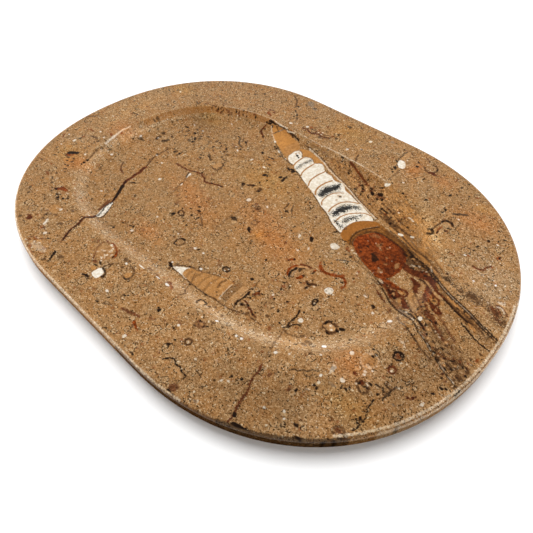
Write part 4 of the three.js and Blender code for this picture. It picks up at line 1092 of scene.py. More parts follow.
def left_floor_marks():
    """Rings and hooks on the left half of the floor."""
    line("umber", 0.7, (-12.2, -49.8), (-12.6, -47.4), (-11.6, -45.4), (-9.4, -45), (-7.4, -46.8),
         (-8, -49.2), (-9.6, -50.6), (-11.6, -50.6), amount=0.85, closed=True)
    spots("black_and_dark_reflection", (-11, -45.2, 2, 1.2, 20), (-12.4, -49, 0.8, 2), (-11.2, -50.8, 1.6, 0.9),
          (-9.6, -45, 1.2, 0.9))
    spots("black_and_dark_reflection", (-41, -59.2, 2.6, 1, 10), (-39.6, -58.4, 1.2, 0.9), (-46.4, -60.9, 1.4, 0.8),
          (-47.4, -67, 1.8, 1.2, -50), (-24.6, -21, 2.4, 1.2, 20), (-22, -23.4, 3, 1.2, 20),
          (-27, -25.4, 2.6, 1, 20), (-22.2, -28.8, 1.8, 1.6), (-17.8, -27.9, 1.6, 2.2, -10),
          (-31.2, -35.6, 2, 2.6, -30), (-31, -28.8, 1, 0.9), (-18, -36.4, 1, 1.4),
          (-21.8, -35.6, 0.9, 1.6, 20), (-24.6, -14.6, 1, 1.2), (-37.2, -20.6, 1.2, 0.9))
    line("umber", 0.8, (-30.4, -30.6), (-29.6, -33), (-27.4, -33.8), (-25.4, -33), (-27, -31),
         (-28.8, -30.4), amount=0.95, closed=True)
    spots("black_and_dark_reflection", (-26, -33.2, 2.4, 0.8, 20), (-30, -32.2, 0.8, 2.4))
    spot("umber", -14.8, -33.6, 5.6, 5.8, 10, amount=0.6, rim=0.7)
    line("umber", 0.6, (-22.6, -23.4), (-19.4, -24.6), (-15.6, -27), (-12.4, -29.4), (-10.8, -30.8),
         amount=0.8)
    spot("umber", -19, -12.6, 6, 4.4, -10, amount=0.45, rim=0.7)
    spots("rust", (-18.2, -8.4, 4, 1.4, 20), (-26, -12, 2.6, 2), (-42.4, -23, 2.6, 3),
          (-37, -28, 2, 6, 10), (-45, 2.2, 2.4, 1.2, 20), (-34.6, -10, 2.6, 1.2),
          (-41.2, 6, 1.8, 0.9, 40), (-33.2, -56.4, 3, 1.4, -20), (-25, -53, 1.8, 1),
          (-27, 33, 1.2, 1), (-16, -43, 2, 1.4), amount=0.45)
    spots("black_and_dark_reflection", (-5, 34, 1.7, 4.2, 20), (-4.6, 32, 1.8, 1.8), (-7.9, 34.2, 2.2, 2.4),
          (-5.2, 36.4, 1.4, 1.2), (-17.2, 28.6, 2, 3, -30), (-15, 29.2, 1.6, 1.8, 30),
          (-18.6, 31.6, 2, 0.9, 30), (-17, 31.8, 0.9, 1.2, 30), (-14, 21, 1.2, 2.4, 20))
    line("umber", 1.1, (-18, 13.9), (-16, 14.6), (-14.6, 16), (-14.2, 17))
    line("umber", 1, (-21.6, 13.2), (-19.8, 12.8), (-19.2, 10.8), amount=0.95)
    line("umber", 0.9, (-9.2, 13.6), (-8, 15.2), (-8.4, 17), (-10.2, 16.8), amount=0.95)
    spots("black_and_dark_reflection", (-17.4, 14, 1.6, 0.9), (-14.8, 15.8, 1.2, 1.6, -20), (-20.8, 13.4, 1.8, 1),
          (-11.6, 14.6, 1.4, 0.9), (-8.6, 14.2, 1.6, 1.2), (-14.4, 6.4, 1.2, 0.8, -20))
    area("buff", (-48.4, 12.6), (-48.8, 16.6), (-46.4, 17.6), (-44.6, 16.2), (-45, 12), (-46.8, 11),
         amount=0.85)
    line("umber", 1, (-46, 17.8), (-44.2, 17.6), (-43.8, 15), (-44.8, 13.2), amount=0.9)
    line("umber", 0.9, (-48.6, 10.9), (-46.4, 10.4), (-43.4, 10.8), (-42.6, 14.2), amount=0.85)
    line("umber", 0.8, (-49.4, 21.4), (-46.6, 21.8), (-45.4, 22.4), amount=0.8)
    line("black_and_dark_reflection", 0.9, (-59, 47.4), (-56.8, 45.2), (-55.2, 42.4), (-52.4, 40.9), (-50, 40.2),
         amount=0.75)
    line("grey", 0.8, (-58, 47), (-56.4, 44.6), (-54, 42), amount=0.7)
    line("umber", 0.9, (-56.6, 49), (-55, 47), (-54.2, 44.6), amount=0.7)
    line("umber", 0.9, (-52, 48.6), (-51, 45.6), (-49.4, 44.4), (-48.8, 42.6), amount=0.85)
    spots("black_and_dark_reflection", (-60.2, 47.4, 1.6, 0.9, -20), (-51.6, 45.6, 1.6, 1.2, -40),
          (-48.4, 37.4, 2.4, 1.2), (-34.6, 45.6, 2.4, 1.6, -30), (-28, 44.6, 1.4, 1),
          (-27, 42.2, 1.6, 0.9), (-24.6, 45, 1.6, 0.9), (-23.6, 50.6, 1.8, 1),
          (-33.4, 56.2, 1.4, 1))
    spots("rust", (-55, 37.6, 4, 1.8, -20), (-52, 38.2, 2, 1.4), (-60.8, 9.6, 3, 2),
          (-64, -2.2, 5, 1.4), (-46.8, 46, 1.6, 1), amount=0.4)


def left_growths():
    """Black growths, white bits and brown veins at the floor's left end."""
    spots("black_and_dark_reflection", (-58.6, 18.2, 4.6, 1.4, -25), (-55.2, 15.6, 3.2, 1.6, -35),
          (-64.4, 17, 2.4, 1, -30), (-63.6, 14.6, 1.8, 1.4), (-61.8, 12.2, 2.2, 1.4, -20),
          (-67.4, 32.6, 1.6, 3.4), (-71.4, 33.8, 1.8, 1.2, -20), (-64.4, 34.8, 1.8, 0.8, -20),
          (-75.4, 32.4, 1.8, 1.2, -30), (-58.8, 33.8, 2.8, 1, -40), (-56, 31.6, 2, 0.9, -30),
          (-53.2, 29.4, 1.6, 0.9, -30), (-54.4, 27.6, 1.8, 1.6, -20), (-51, 26.4, 1.4, 2.2),
          (-60, 28.8, 1.4, 1, -20), (-57, 26.4, 1.6, 1, -20), (-63.4, 25.4, 2.4, 1, -20),
          (-51.4, 22.6, 2.2, 1.2, -20), (-69.4, 26.8, 1, 2.6), (-67.8, 20.8, 2.6, 0.9, -40),
          (-71.4, 28.6, 2.6, 1, -10), (-78.4, 26.6, 2.4, 2.2, -20), (-79.4, 29, 1.8, 1),
          (-78.6, 21.2, 2, 1.4, -20), (-76, 19, 2.6, 1, -30), (-82.4, 20.4, 3.2, 2, -20),
          (-84.4, 24.4, 2.6, 1, -30), (-82, 22.8, 2, 1.2, -20), (-86.6, 28, 2.4, 1, -40),
          (-88.2, 32.8, 2.4, 2, -20), (-84.8, 30.4, 1.8, 0.9, -20), (-82, 32, 1, 2),
          (-75.4, 32.6, 2, 1, -20), (-97.4, 29.8, 3, 1.2, -20), (-92.4, 28.2, 3.4, 1, -10),
          (-92.6, 26, 2.6, 1, -10), (-95.4, 24.6, 2.6, 1, -20), (-100, 26.6, 2.2, 0.9, -40),
          (-89, 35.8, 1.2, 1.8), (-95, 7, 3.4, 2.2, -30), (-93.6, 10.2, 1.8, 2, -20),
          (-93.8, 14.4, 1.8, 1.2), (-100.4, 5.4, 2.8, 1.8, -20), (-102.2, 7.2, 2, 1.2, -30),
          (-102.6, 1.2, 2, 1, -30), (-78.8, 5.2, 2.8, 3.2), (-75, 7.4, 1, 3, 20),
          (-75.2, 3.4, 2.2, 1.4, -20), (-81.6, 6.6, 1.8, 1.4), (-82.2, 0.8, 2.6, 1, -20),
          (-63, 4.4, 2.2, 1, 20), (-61.2, 2.4, 1.2, 2.8, 10), (-87, 11.2, 1.8, 1, -30),
          (-89.6, 14.2, 2, 0.8, -30), (-76.8, 13.4, 1, 1.8), (-72.6, 14.8, 1.6, 0.8, -20),
          (-113, 17.4, 2.4, 2.2, -20), (-113.2, 14.6, 2, 1.2, 20), (-106.8, 24.8, 1.8, 1.2),
          (-104.2, 24.6, 1.2, 2), (-105.4, 28.8, 1.6, 1.4), (-109, 29.4, 1.2, 0.9),
          (-107, -2.2, 4.4, 2), (-108.6, -3.8, 2.2, 1.2, 20), (-110.2, -7.2, 1.2, 1.4),
          (-109.4, -26.6, 1.2, 3.2), (-101.2, 8.8, 3, 2.2, -20), (-103, 13.4, 2.6, 3, -20),
          (-86, -5.2, 2.6, 1.4, -20), (-98.8, -41.8, 1.2, 1.4), (-81.4, -44.8, 2.2, 1),
          (-88.2, -57.8, 1.8, 1), (-76.8, -62, 1.2, 2.2, 30), (-61.2, -41.6, 2.2, 1.4, -30),
          (-64.4, -47.6, 1.6, 0.8, 20), (-61.6, -48.6, 1.6, 0.8), (-72.8, -35.6, 1.2, 0.9),
          (-62.4, -18.8, 1.6, 0.9, -40), amount=0.7)
    spots("calcite", (-109.4, -1.2, 1.2, 2.6, 10), (-100.6, 7, 1.2, 1.6), (-85, -6.4, 1.8, 0.9),
          (-84, 34.6, 2, 1.2, -30), (-94.2, 35.4, 2.4, 1, -20), (-53, 37.8, 1.2, 1),
          (-75, 54.6, 1.6, 0.9), amount=0.6)
    spots("buff", (-66.4, 25.6, 3, 2.2, -20), (-54.8, 23.4, 4.4, 2, -20), (-60, 35.4, 4, 1),
          (-64.4, 2.6, 4, 2.6), (-74, 25.2, 5, 4, 0), (-114, 15.8, 1.6, 2.6),
          (-94, 38, 3, 1.6, -20), (-37.4, 20.4, 3, 1.6, 20), amount=0.5)
    line("umber", 0.8, (-86.6, 4.4), (-85, 1), (-84.8, -3), (-85.6, -6.2), amount=0.6)
    line("umber", 0.8, (-84.8, -9), (-84, -12.2), (-82.8, -15.2), amount=0.7)
    line("rust", 0.9, (-94.6, -27), (-92, -30.4), (-89.6, -32.4), (-86, -33.4), amount=0.8)
    line("umber", 0.8, (-90.4, -31.8), (-87, -33.2), (-84.6, -33.8), amount=0.6)
    line("buff", 1, (-63.6, -28.8), (-61.4, -31.6), (-58.6, -35.2), (-57, -37.4), amount=0.6)
    line("umber", 0.7, (-74, -35.4), (-71, -34.2), (-69.6, -31.8), amount=0.6)
    line("umber", 0.6, (-111, -34.6), (-108, -40), (-105.4, -45.4), (-103.6, -50.4), amount=0.9)
    line("buff", 0.7, (-109, -37), (-106.4, -42), (-104.4, -47.4), (-102.8, -51.4), amount=0.8)
    spots("black_and_dark_reflection", (-105.6, -45.4, 1.2, 2, 20), (-104.2, -48.6, 0.9, 2.2, 20),
          (-103.4, -51, 1.2, 0.8))


def loose_crumbs():
    """Strewn crumbs where the stone is full of them."""
    for seed, count, *patch in (
            (1, 60, 36, 62, 62, 12, -14), (2, 26, 66, 52, 34, 12, -20),
            (3, 60, -84, 59.6, 58, 8, 27), (4, 44, 136, -18, 30, 18, -24),
            (5, 30, 118, -1, 30, 14, -40), (6, 16, -128, 10, 30, 20, 90)):
        crumble(seed, count, *patch)


def far_floor_growths():
    """Black growths and curls on the far left of the dish's floor."""
    spots("black_and_dark_reflection", (-85.8, 28.8, 3, 1.6, -40), (-81, 24.6, 4.4, 1.8, -50),
          (-79.2, 20.8, 2.6, 1.8, 20), (-75.8, 32.2, 3, 1, 20), (-95.8, 30.2, 2.2, 1.4),
          (-94.4, 8, 3.2, 1.6, 40), (-58, 17, 3.4, 1.2, -20), (-61.2, 12.2, 2.2, 1.4),
          (-79.4, 5, 2, 2.2), (-75, 5.2, 1.4, 3, 20), (-17, 28.6, 2.4, 1.8, 30),
          (-20.8, 12.2, 1.2, 2.6, 30), (-10, 44.2, 5, 1.2, -30), (-6.4, 44.6, 1.4, 3.6, 30),
          (-72, -34.4, 3, 0.9, 10), (-52, 46.4, 2.4, 0.9, -30), (-2, -12.8, 3, 1.4),
          (10.8, -13.8, 2, 2), (16.4, 12.8, 1.4, 2.2, -20))
    spots("umber", (-64.4, 33, 3, 1, -10), (-60.6, 31.2, 2.4, 0.9, 40), (-55.8, 31.2, 1.4, 3, 50),
          (-54.8, 28.4, 2.4, 0.9), (-64.4, 27, 1.8, 1.4), (-60.8, 23.6, 2.6, 1, -30),
          (-101.4, 13, 2.2, 1.4, 30), (-95, 15, 1.8, 1.4), (-100.8, 5.8, 1.6, 2.4),
          (-34.4, 45, 2.6, 1.2, -30), (-25.8, 45, 1.4, 1.4), (-22, 38.6, 2, 1.2),
          (-16.4, 15.6, 4.2, 1.1, 40), (-9.2, 15.8, 1.2, 3, -20), (2.8, 2.2, 2.2, 1.6),
          (-70.6, 30, 2, 0.8, -30), (-88.6, 22.6, 2.2, 1, 20), (-92, 27, 1.4, 1))
    spots("buff", (-83, 27, 1.6, 1), (-77, 22.6, 2, 1.2), (-62.8, 3.8, 2.6, 1.6), (-74, 7, 1.6, 1),
          (-58.4, 14.6, 1.8, 0.9), (-92.4, 9.6, 1.4, 0.9), (-46, 15.2, 4, 3.4),
          (-57.4, 29.8, 2, 1, 30), (-35.6, 43.4, 1.4, 0.8), (-15, 27, 1.4, 0.8))


def far_rim():
    """Red-brown shell bits on the rim beyond the long fossil's tip, and at the tip."""
    crack("rust", 0.9, (-52, 67), (-52.6, 63.6), (-50.2, 60.6), (-46, 58.4))
    spots("black_and_dark_reflection", (-50.6, 64.6, 1.4, 0.9), (-47.4, 59.6, 1.6, 0.8, 20), (-52.6, 61, 1, 0.8))
    crack("rust", 0.9, (-27.6, 77.4), (-23, 78.8), (-19.4, 77), (-15, 79.4), (-11, 79),
          (-6.6, 80.6))
    crack("umber", 0.6, (-25, 80), (-20.6, 81.4), (-16, 80.6), amount=0.9)
    spots("rust", (-59, 79.4, 3.4, 1.6, 10), (-55, 78.6, 2, 1.2), (-20.8, 84.4, 1.6, 0.9, 20),
          (-12.4, 81.6, 2, 1), (-9, 77.6, 1.4, 1), amount=0.9)
    spots("buff", (-21.4, 79.2, 2.2, 0.8, 10), (-13.4, 77.8, 2, 0.8, -10), (-17.4, 82.6, 1.8, 0.8))


def left_shells():
    """Cream and orange shell pieces on the left rim."""
    area("tan", (-33, -85), (-31, -81), (-26.5, -79), (-22, -81), (-21, -86), (-25, -89),
         (-31, -88.6), amount=0.45)
    spots("cream", (-28.6, -84, 3.4, 0.9, 30), (-25.4, -82.2, 2.6, 0.7, 10),
          (-24.6, -86, 3, 0.8, -30), (-30.4, -86.4, 1.8, 0.8, 40), (-22.6, -83, 0.8, 2), amount=0.6)
    spots("rust", (-27, -80.4, 3, 0.7, 20), (-32, -87, 2.4, 0.8, 50), amount=0.7)
    spots("cream", (-75.6, -83, 3.4, 1, 20), (-71.6, -92.4, 3.4, 1.4, -30),
          (-69.2, -95.2, 2.6, 0.9, -50), (-84.4, -72.4, 2.4, 1, 20), (-82.4, -75.6, 1.6, 0.9),
          (-88, -75.4, 1.4, 0.8), (-63, -103.6, 2.6, 0.9, 30), amount=0.6)
    spots("rust", (-67.4, -96.8, 2.8, 0.8, -20), (-60.6, -102.2, 2.4, 0.8, 60),
          (-66.4, -105.4, 2.8, 0.8, 60), (-79.6, -88.4, 2, 0.8, 30), (-93, -73.6, 2, 1, 30),
          (-32, -78.8, 5, 0.8, -12), (-36.6, -82, 1, 3, 10), (-21.6, -78.6, 2.6, 0.8, -30),
          amount=0.8)
    spots("black_and_dark_reflection", (-85, -77.8, 2.4, 1, -30), (-83.4, -79.4, 1.2, 0.8), (-76.4, -90.6, 1.8, 0.7, 20),
          (-58.4, -99.6, 1.4, 0.7), (-113, -55, 1.6, 0.8, 30), (-110.4, -58.4, 1.2, 0.8),
          (-117.4, -52.6, 1.4, 0.8, -30), (-106, -60.2, 1.4, 0.8), (-125, -57.6, 1.4, 0.7, 20))
    spots("buff", (-115.4, -54.8, 3.4, 1.4, 20), (-121.6, -54.4, 3, 1.2, -10),
          (-109, -60.4, 3, 1.2, 30), (-127.4, -60, 2.2, 1), (-73.6, -86, 2, 1, 30),
          (-78, -93, 2.2, 1))
    area("cream", (-62, -107.6), (-58, -105), (-52, -104.4), (-50, -106.4), (-54, -108.4),
         (-58, -109), amount=0.35)
    spots("rust", (-59, -107, 2.6, 0.8, 20), (-53, -105.6, 2.4, 0.7, -10),
          (-55.6, -107.8, 1.6, 0.8), amount=0.7)
    spots("buff", (-56.6, -106.2, 2, 0.8), (-51.6, -107.2, 1.8, 0.8), (-60.4, -107.6, 1.4, 0.8))


def left_rim():
    """Rusty patches, dots and short strokes on the left rim."""
    line("black_and_dark_reflection", 3.2, (-119.6, -49.6), (-117.6, -47.8), (-115.4, -46.2), end=2.2)
    spots("brick", (-118, -51.2, 4.4, 2.6, 20), (-116, -49, 2, 1.4), amount=0.85)
    spots("black_and_dark_reflection", (-115.6, -52.8, 2.4, 1.6, 40), (-112.2, -51.2, 1.8, 1.4), (-119, -52.8, 1.8, 1.2),
          (-108.2, -57.6, 2.2, 1.2), (-109.8, -53.8, 1.4, 2.4), (-106.6, -60.8, 1.8, 1),
          (-106.4, -66.6, 1.4, 1.4), (-104.4, -70.8, 2.6, 1, -20), (-100, -73.2, 2.4, 1),
          (-96, -75.8, 1.6, 1), (-93.2, -77.6, 1.4, 1.2), (-126.6, -65.8, 2, 1),
          (-123.4, -56.8, 1.4, 0.9), (-104, -62.4, 1.6, 0.9, -40), (-102, -88, 1.4, 1.8),
          (-106, -84.6, 1.2, 2, 20), (-116.6, -39.8, 1.8, 1), (-117.2, -29.6, 2, 2),
          (-129, -36, 1.6, 2.4), (-143, -37, 2, 0.9), (-101.4, -95.8, 1.8, 1),
          (-86.2, -101.6, 1.2, 2.4), (-81, -102, 1.4, 0.8), amount=0.8)
    area("ochre", (-116, -53.6), (-112.6, -52.8), (-110.6, -55.4), (-113, -57.4), (-116, -56.4),
         amount=0.5)
    line("umber", 1, (-125.4, -29.4), (-123.6, -28.4), (-121.4, -28), (-120.2, -28.2), amount=0.9)
    line("brick", 1, (-134.4, -25.8), (-133, -24.8), (-131, -25), (-129, -24.6), amount=0.8)
    line("umber", 0.7, (-134.4, -26.4), (-134, -28.6), amount=0.6)
    spots("brick", (-117.2, -18.8, 3.6, 1.8, -20), (-115.4, -12, 1.4, 1.6), (-117.4, -64, 2, 1.2),
          (-110.8, -70.6, 5, 1.4, -10), (-129, -33, 1.2, 4), amount=0.8)
    line("brick", 1, (-142, -40), (-140, -41.8), (-138.4, -43.6), amount=0.7)
    line("umber", 1.2, (-144, -11.4), (-146.4, -15), (-149, -18.4), amount=0.7)


def near_left_rim():
    """Brick-red, black and cream bits on the near left rim."""
    area("brick", (-94.6, -75.2), (-92.2, -73), (-91.6, -70.8), (-88, -70.6), (-85.6, -70.8),
         (-86.6, -72.4), (-89.6, -73), (-92.2, -75.4), amount=0.95)
    spots("black_and_dark_reflection", (-92.8, -74.8, 2, 1.4, 30), (-87.8, -77, 2.4, 1.2), (-85.2, -78.6, 1.6, 2),
          (-82, -76.6, 2.4, 1.4, -20), (-86.2, -76, 1.4, 0.9), (-80, -74.6, 1.2, 1.8, 30),
          (-76.8, -78.2, 1.6, 0.8))
    spots("rust", (-81.2, -98.6, 3.4, 3.2, 30), (-83.4, -97.6, 2.6, 1, 40))
    spot("ochre", -77.4, -84.6, 8, 6, 0, amount=0.4)
    spots("ochre", (-74.2, -82.6, 2.2, 1.8), (-90, -60, 2, 1.4, -30), (-126, -46, 5, 3, 20),
          (-105.6, -73.6, 3.4, 2), amount=0.5)
    spots("umber", (-77, -90.6, 1.6, 3), (-75.4, -93.6, 1.4, 1.6), (-72.4, -87, 3, 1, 30),
          (-63.4, -88.6, 2.6, 1.6, 40), (-64.6, -90.4, 1.6, 1.2), (-61, -87.2, 1.6, 0.8),
          (-68.4, -78.6, 3, 1.4), (-75, -88.6, 1.4, 1.4), amount=0.75)
    spots("brick", (-68.8, -97.8, 3.6, 1.4, -10), (-69.8, -95.6, 1, 2), (-63.4, -104.4, 2.8, 1.8),
          (-60.4, -109.4, 2, 2.8), (-56, -111, 3, 1.2), (-53.4, -105, 2, 1.6, 30),
          (-65.2, -107.2, 2, 1.4), (-50.8, -107.6, 1.2, 2), amount=0.7)
    spots("buff", (-59.4, -104, 4, 2, 20), (-57.6, -108, 4, 2.6), (-62.6, -107.6, 2.6, 2),
          (-67.4, -109, 3, 1.4), (-53.6, -103.2, 2.6, 1.2, 20))
    spots("cream", (-58.8, -104.6, 1.8, 1, 20), (-61.6, -106, 1.2, 1.2), (-66.6, -108.4, 1.6, 0.8),
          (-56, -105.8, 1.4, 0.8), (-58.6, -109, 1.2, 1), (-63.8, -109.2, 1, 0.8))
    spots("umber", (-53.4, -107, 1.4, 1.2), (-59.8, -107.2, 1, 1.6), (-41.2, -102.4, 2.4, 2.6),
          (-46, -108.8, 1.8, 1.6), amount=0.8)


def near_rim():
    """Shell outlines, rings and hooks on the near rim."""
    area("buff", (-32, -79.2), (-28, -77.9), (-23.6, -79.4), (-21.6, -82.4), (-22.4, -86.4),
         (-24.4, -88.8), (-28.4, -87), (-32.6, -85), (-34, -81.6), amount=0.4)
    line("brick", 1.5, (-29.4, -77.6), (-26, -78.4), (-22.6, -79.8), (-20.8, -81.8), (-20.8, -83.4))
    line("rust", 0.8, (-22.6, -79.8), (-23.4, -83), (-23, -86.6), (-23.6, -89.2))
    line("rust", 0.7, (-33.6, -80.4), (-33.2, -84.2), (-30.6, -87.4), (-28.2, -90.6))
    spots("rust", (-25.2, -91.4, 2.6, 1.8, 20), (-26.6, -84, 1.6, 1.4), (-27.6, -81.4, 2, 1),
          amount=0.85)
    spots("cream", (-28.4, -78.8, 2.4, 1.4), (-25.2, -81, 1.6, 1, -30), (-24.6, -84.6, 1.2, 1.8),
          (-25.2, -87.6, 1.8, 0.8), (-26, -79.8, 1.4, 0.8), (-23.4, -88.8, 1.4, 0.8))
    spots("black_and_dark_reflection", (-22, -90.2, 2.6, 1.2, -10), (-22.8, -92.6, 1.8, 1, 20), (-21, -83, 1, 1.6))
    spot("ochre", -22, -94.4, 4, 2.8, amount=0.7)
    line("umber", 0.7, (-17, -86.2), (-18.2, -88.2), (-18.8, -90.2))
    spots("umber", (-14.4, -79.6, 2.2, 1.4), (-12, -79, 1.2, 2.2), (-11.4, -83.8, 1.4, 1.2),
          (-15, -78.8, 1.2, 0.9), amount=0.85)
    line("umber", 0.7, (-8.8, -80.6), (-5.6, -81), (-3.2, -82.8), (-2.6, -85.4), (-4, -87.6),
         (-6, -87.4), amount=0.8)
    spots("ochre", (-4.8, -85.2, 3.4, 4.2, 0), amount=0.6)
    line("black_and_dark_reflection", 0.5, (-5.6, -87.6), (-3.6, -87.6), (-2.4, -86), amount=0.8)
    spots("rust", (-2, -73.8, 3.4, 2.2, -20), (4.4, -74, 4, 1.4, -20), (-10, -102, 2, 1),
          amount=0.6)
    line("brick", 1.1, (11.2, -71.6), (13.8, -73), (16, -73.8), (18, -75.4), amount=0.85)
    line("rust", 0.9, (12.2, -73.8), (11.4, -72.4), (13, -71.8), amount=0.8)
    spots("calcite", (14, -74.9, 3.6, 1.6, -20), (7, -75.2, 3, 0.9), (-4.6, -76.8, 5, 0.7),
          amount=0.8)


def far_rim_marks():
    """Rusty bits, smudges and dark dots on the far rim."""
    spots("brick", (-57.2, 75.4, 4.6, 2.6, -25), (-58.4, 77.2, 1.6, 2.6, 10),
          (-55.6, 78.6, 1.6, 2.4), (-55, 74.6, 2, 1.4), amount=0.85)
    spot("buff", -57.2, 78, 3, 3.6, 20, amount=0.6)
    line("umber", 0.6, (-59.6, 79.8), (-57.6, 80.6), (-55.6, 80), amount=0.8)
    spots("brick", (-23, 82.6, 2.2, 2.6, 20), (-16.6, 83.4, 1.4, 3, 10), (-17, 80.8, 2.4, 1.2),
          (-14, 82.4, 2.4, 1, 30), (-5.6, 84, 1.6, 2.6), (-15.2, 91, 2, 1.8),
          (-13.6, 81.4, 1.2, 1.2), (-12, 110, 1.2, 1.8), (-12.4, 107.4, 1.4, 2), amount=0.7)
    spots("cream", (-13.2, 83.2, 1.6, 1.2), (-15.6, 81.2, 1, 1), (-12.6, 80.6, 1.2, 0.8),
          (-33.2, 79.2, 1.6, 1, -40))
    spot("umber", -7.8, 81, 4.6, 4, amount=0.65, rim=0.8)
    spots("black_and_dark_reflection", (-11.4, 77, 3, 2, -10), (-3.4, 89, 1.4, 1.8), (-2, 83.6, 1.6, 2.4, -20),
          (-5.6, 86.6, 1.4, 1.2), (-8.4, 80, 0.9, 1.8), (-28.2, 94, 1.4, 2.6, 20),
          (-32, 92.2, 1.8, 0.9, 50), (-78, 92.8, 2.8, 1.6, -35), (-83.2, 87.8, 2.6, 1.6, -50),
          (-87.4, 78.8, 1.8, 1.2, -40), (-92.8, 65.8, 1.4, 2.4, 30), (-101, 91.6, 2.4, 1.2, -40),
          (-107.4, 86, 2.4, 1.2, -50), (-106.6, 49.6, 3, 1.4, -25), (-104.4, 48.4, 1.8, 0.9, -25),
          (-113.8, 55.6, 2.6, 1.2, -10), (-121.8, 60.6, 2.8, 1.2, -20), (-131, 50.6, 3, 1, -40),
          (-122, 75.2, 2, 1.4, 20), (-114.8, 83.4, 3, 1.2, -40), (-136.2, 46.6, 2.4, 1, -20),
          (-119.6, 32.8, 2, 1.2, -30), (-135.2, 15.2, 2, 1.2, -20), (-142, 18.6, 2.2, 1, -20),
          (-147, 36, 2.4, 0.9, -30), (-84, 96, 2.4, 1.2, -60), (-84.6, 93.4, 2.2, 0.9, -60),
          (-83.2, 101.4, 2.6, 1, -40), (-96, 80, 1.6, 1.4, -30), (-100.4, 67, 1.6, 1, -40),
          (-41.2, 80.8, 1.4, 0.9), (-4, 101.2, 3.4, 2.4), (-14.8, 102.2, 2.2, 1.2),
          (-37, 103, 2.4, 1.4, -40), (-44.4, 102.4, 4.4, 1.2, -50), (17.8, 85.4, 1.4, 1.6),
          (26, 84, 1.2, 2, 20), (33.8, 75.2, 1.2, 1), (30.8, 78, 0.8, 1.6, 20),
          (3, 105.6, 1.2, 2.4, 30), (-0.4, 94.6, 1.2, 3), (33, 99.6, 1.2, 0.9),
          (62.8, 80.8, 1, 1.4), (71.2, 98.8, 1.2, 1.6), (57.8, 104.6, 1, 1.2), amount=0.7)
    spots("black_and_dark_reflection", (-2.6, 84, 2.2, 1.2, -50), (-4, 88.4, 1.6, 1), (-3, 87.2, 0.9, 1.4))
    spots("rust", (-73.6, 101, 3, 2.4, -20), (-89.6, 62.4, 3, 3.4), (-72, 77.4, 2, 1), amount=0.4)


def painted_shoulder_highlights():
    """Painted highlights: pale arcs of reflected light along the dish's shoulder."""
    line("cream", 1, (-116.6, -3.6), (-116.6, -8), (-116.4, -11.2), (-115.8, -15), (-115, -18.6),
         (-114, -23), (-113, -26.6), amount=0.9)
    line("cream", 0.9, (20, 71.6), (24, 71.7), (29.4, 71.4), amount=0.9)
    line("cream", 1.1, (-3, 71.4), (4, 71.6), (11, 71.8), (19, 71.3), amount=0.5)
    line("cream", 0.9, (30, 71.2), (36, 70.8), (41, 70.4), amount=0.4)


def arris_light_and_shade():
    """Painted light along the rounded arrises and the dish's wall, between two bearings: pale bands
    of painted highlight, dark bands of painted reflection and a golden band of painted shade; then
    painted highlight strokes on the far shoulder and dark spots along the near edge.
    """
    # pale rows are painted highlights, the dark rows on the slab painted dark reflections on the
    # arris, the golden row on the dish painted shade below the far shoulder
    for oval, kind, width, inset, start, end, amount in (
            (SLAB, "cream", 1, 1.8, -34, 14, 0.8), (SLAB, "cream", 0.6, 0.3, -28, 16, 0.6),
            (SLAB, "umber", 0.7, 1, -31, 14, 0.5), (SLAB, "cream", 0.7, 0.8, -178, -58, 0.8),
            (SLAB, "buff", 1, 1.6, -178, -64, 0.4), (SLAB, "black_and_dark_reflection", 1.2, 0.5, -53, -30, 0.7),
            (SLAB, "umber", 0.8, 0.2, -80, -50, 0.7), (DISH, "amber", 3.6, 2.6, 112, 176, 0.5),
            (DISH, "cream", 0.4, 0.6, 122, 146, 0.45), (DISH, "cream", 0.4, 0.8, 93, 115, 0.5)):
        path = oval_points(oval, inset, oval_stations(oval, 6))
        bearings = np.degrees(np.arctan2(path[:, 1], path[:, 0]))
        chosen = (bearings > start) & (bearings < end)
        order = np.argsort(bearings[chosen])
        line(kind, width, *map(tuple, path[chosen][order]), amount=amount)
    dashes("cream", 0.45, ((30, 71.4), (36, 71), (41, 70.4), (46, 69.4), (49.6, 68.9)), 5, 0.6,
           amount=0.6)
    line("buff", 0.9, (51, 68.8), (60, 68.4), (69.5, 67.6), amount=0.6)
    spots("black_and_dark_reflection", (98, -101, 4, 1, 34), (104, -97, 3, 1.2, 38), (90, -104.6, 3.4, 1, 28),
          (60, -110.6, 3, 0.9, 8), (78, -108.6, 2.4, 0.8, 18), (34, -110.8, 2.6, 0.8, 2))


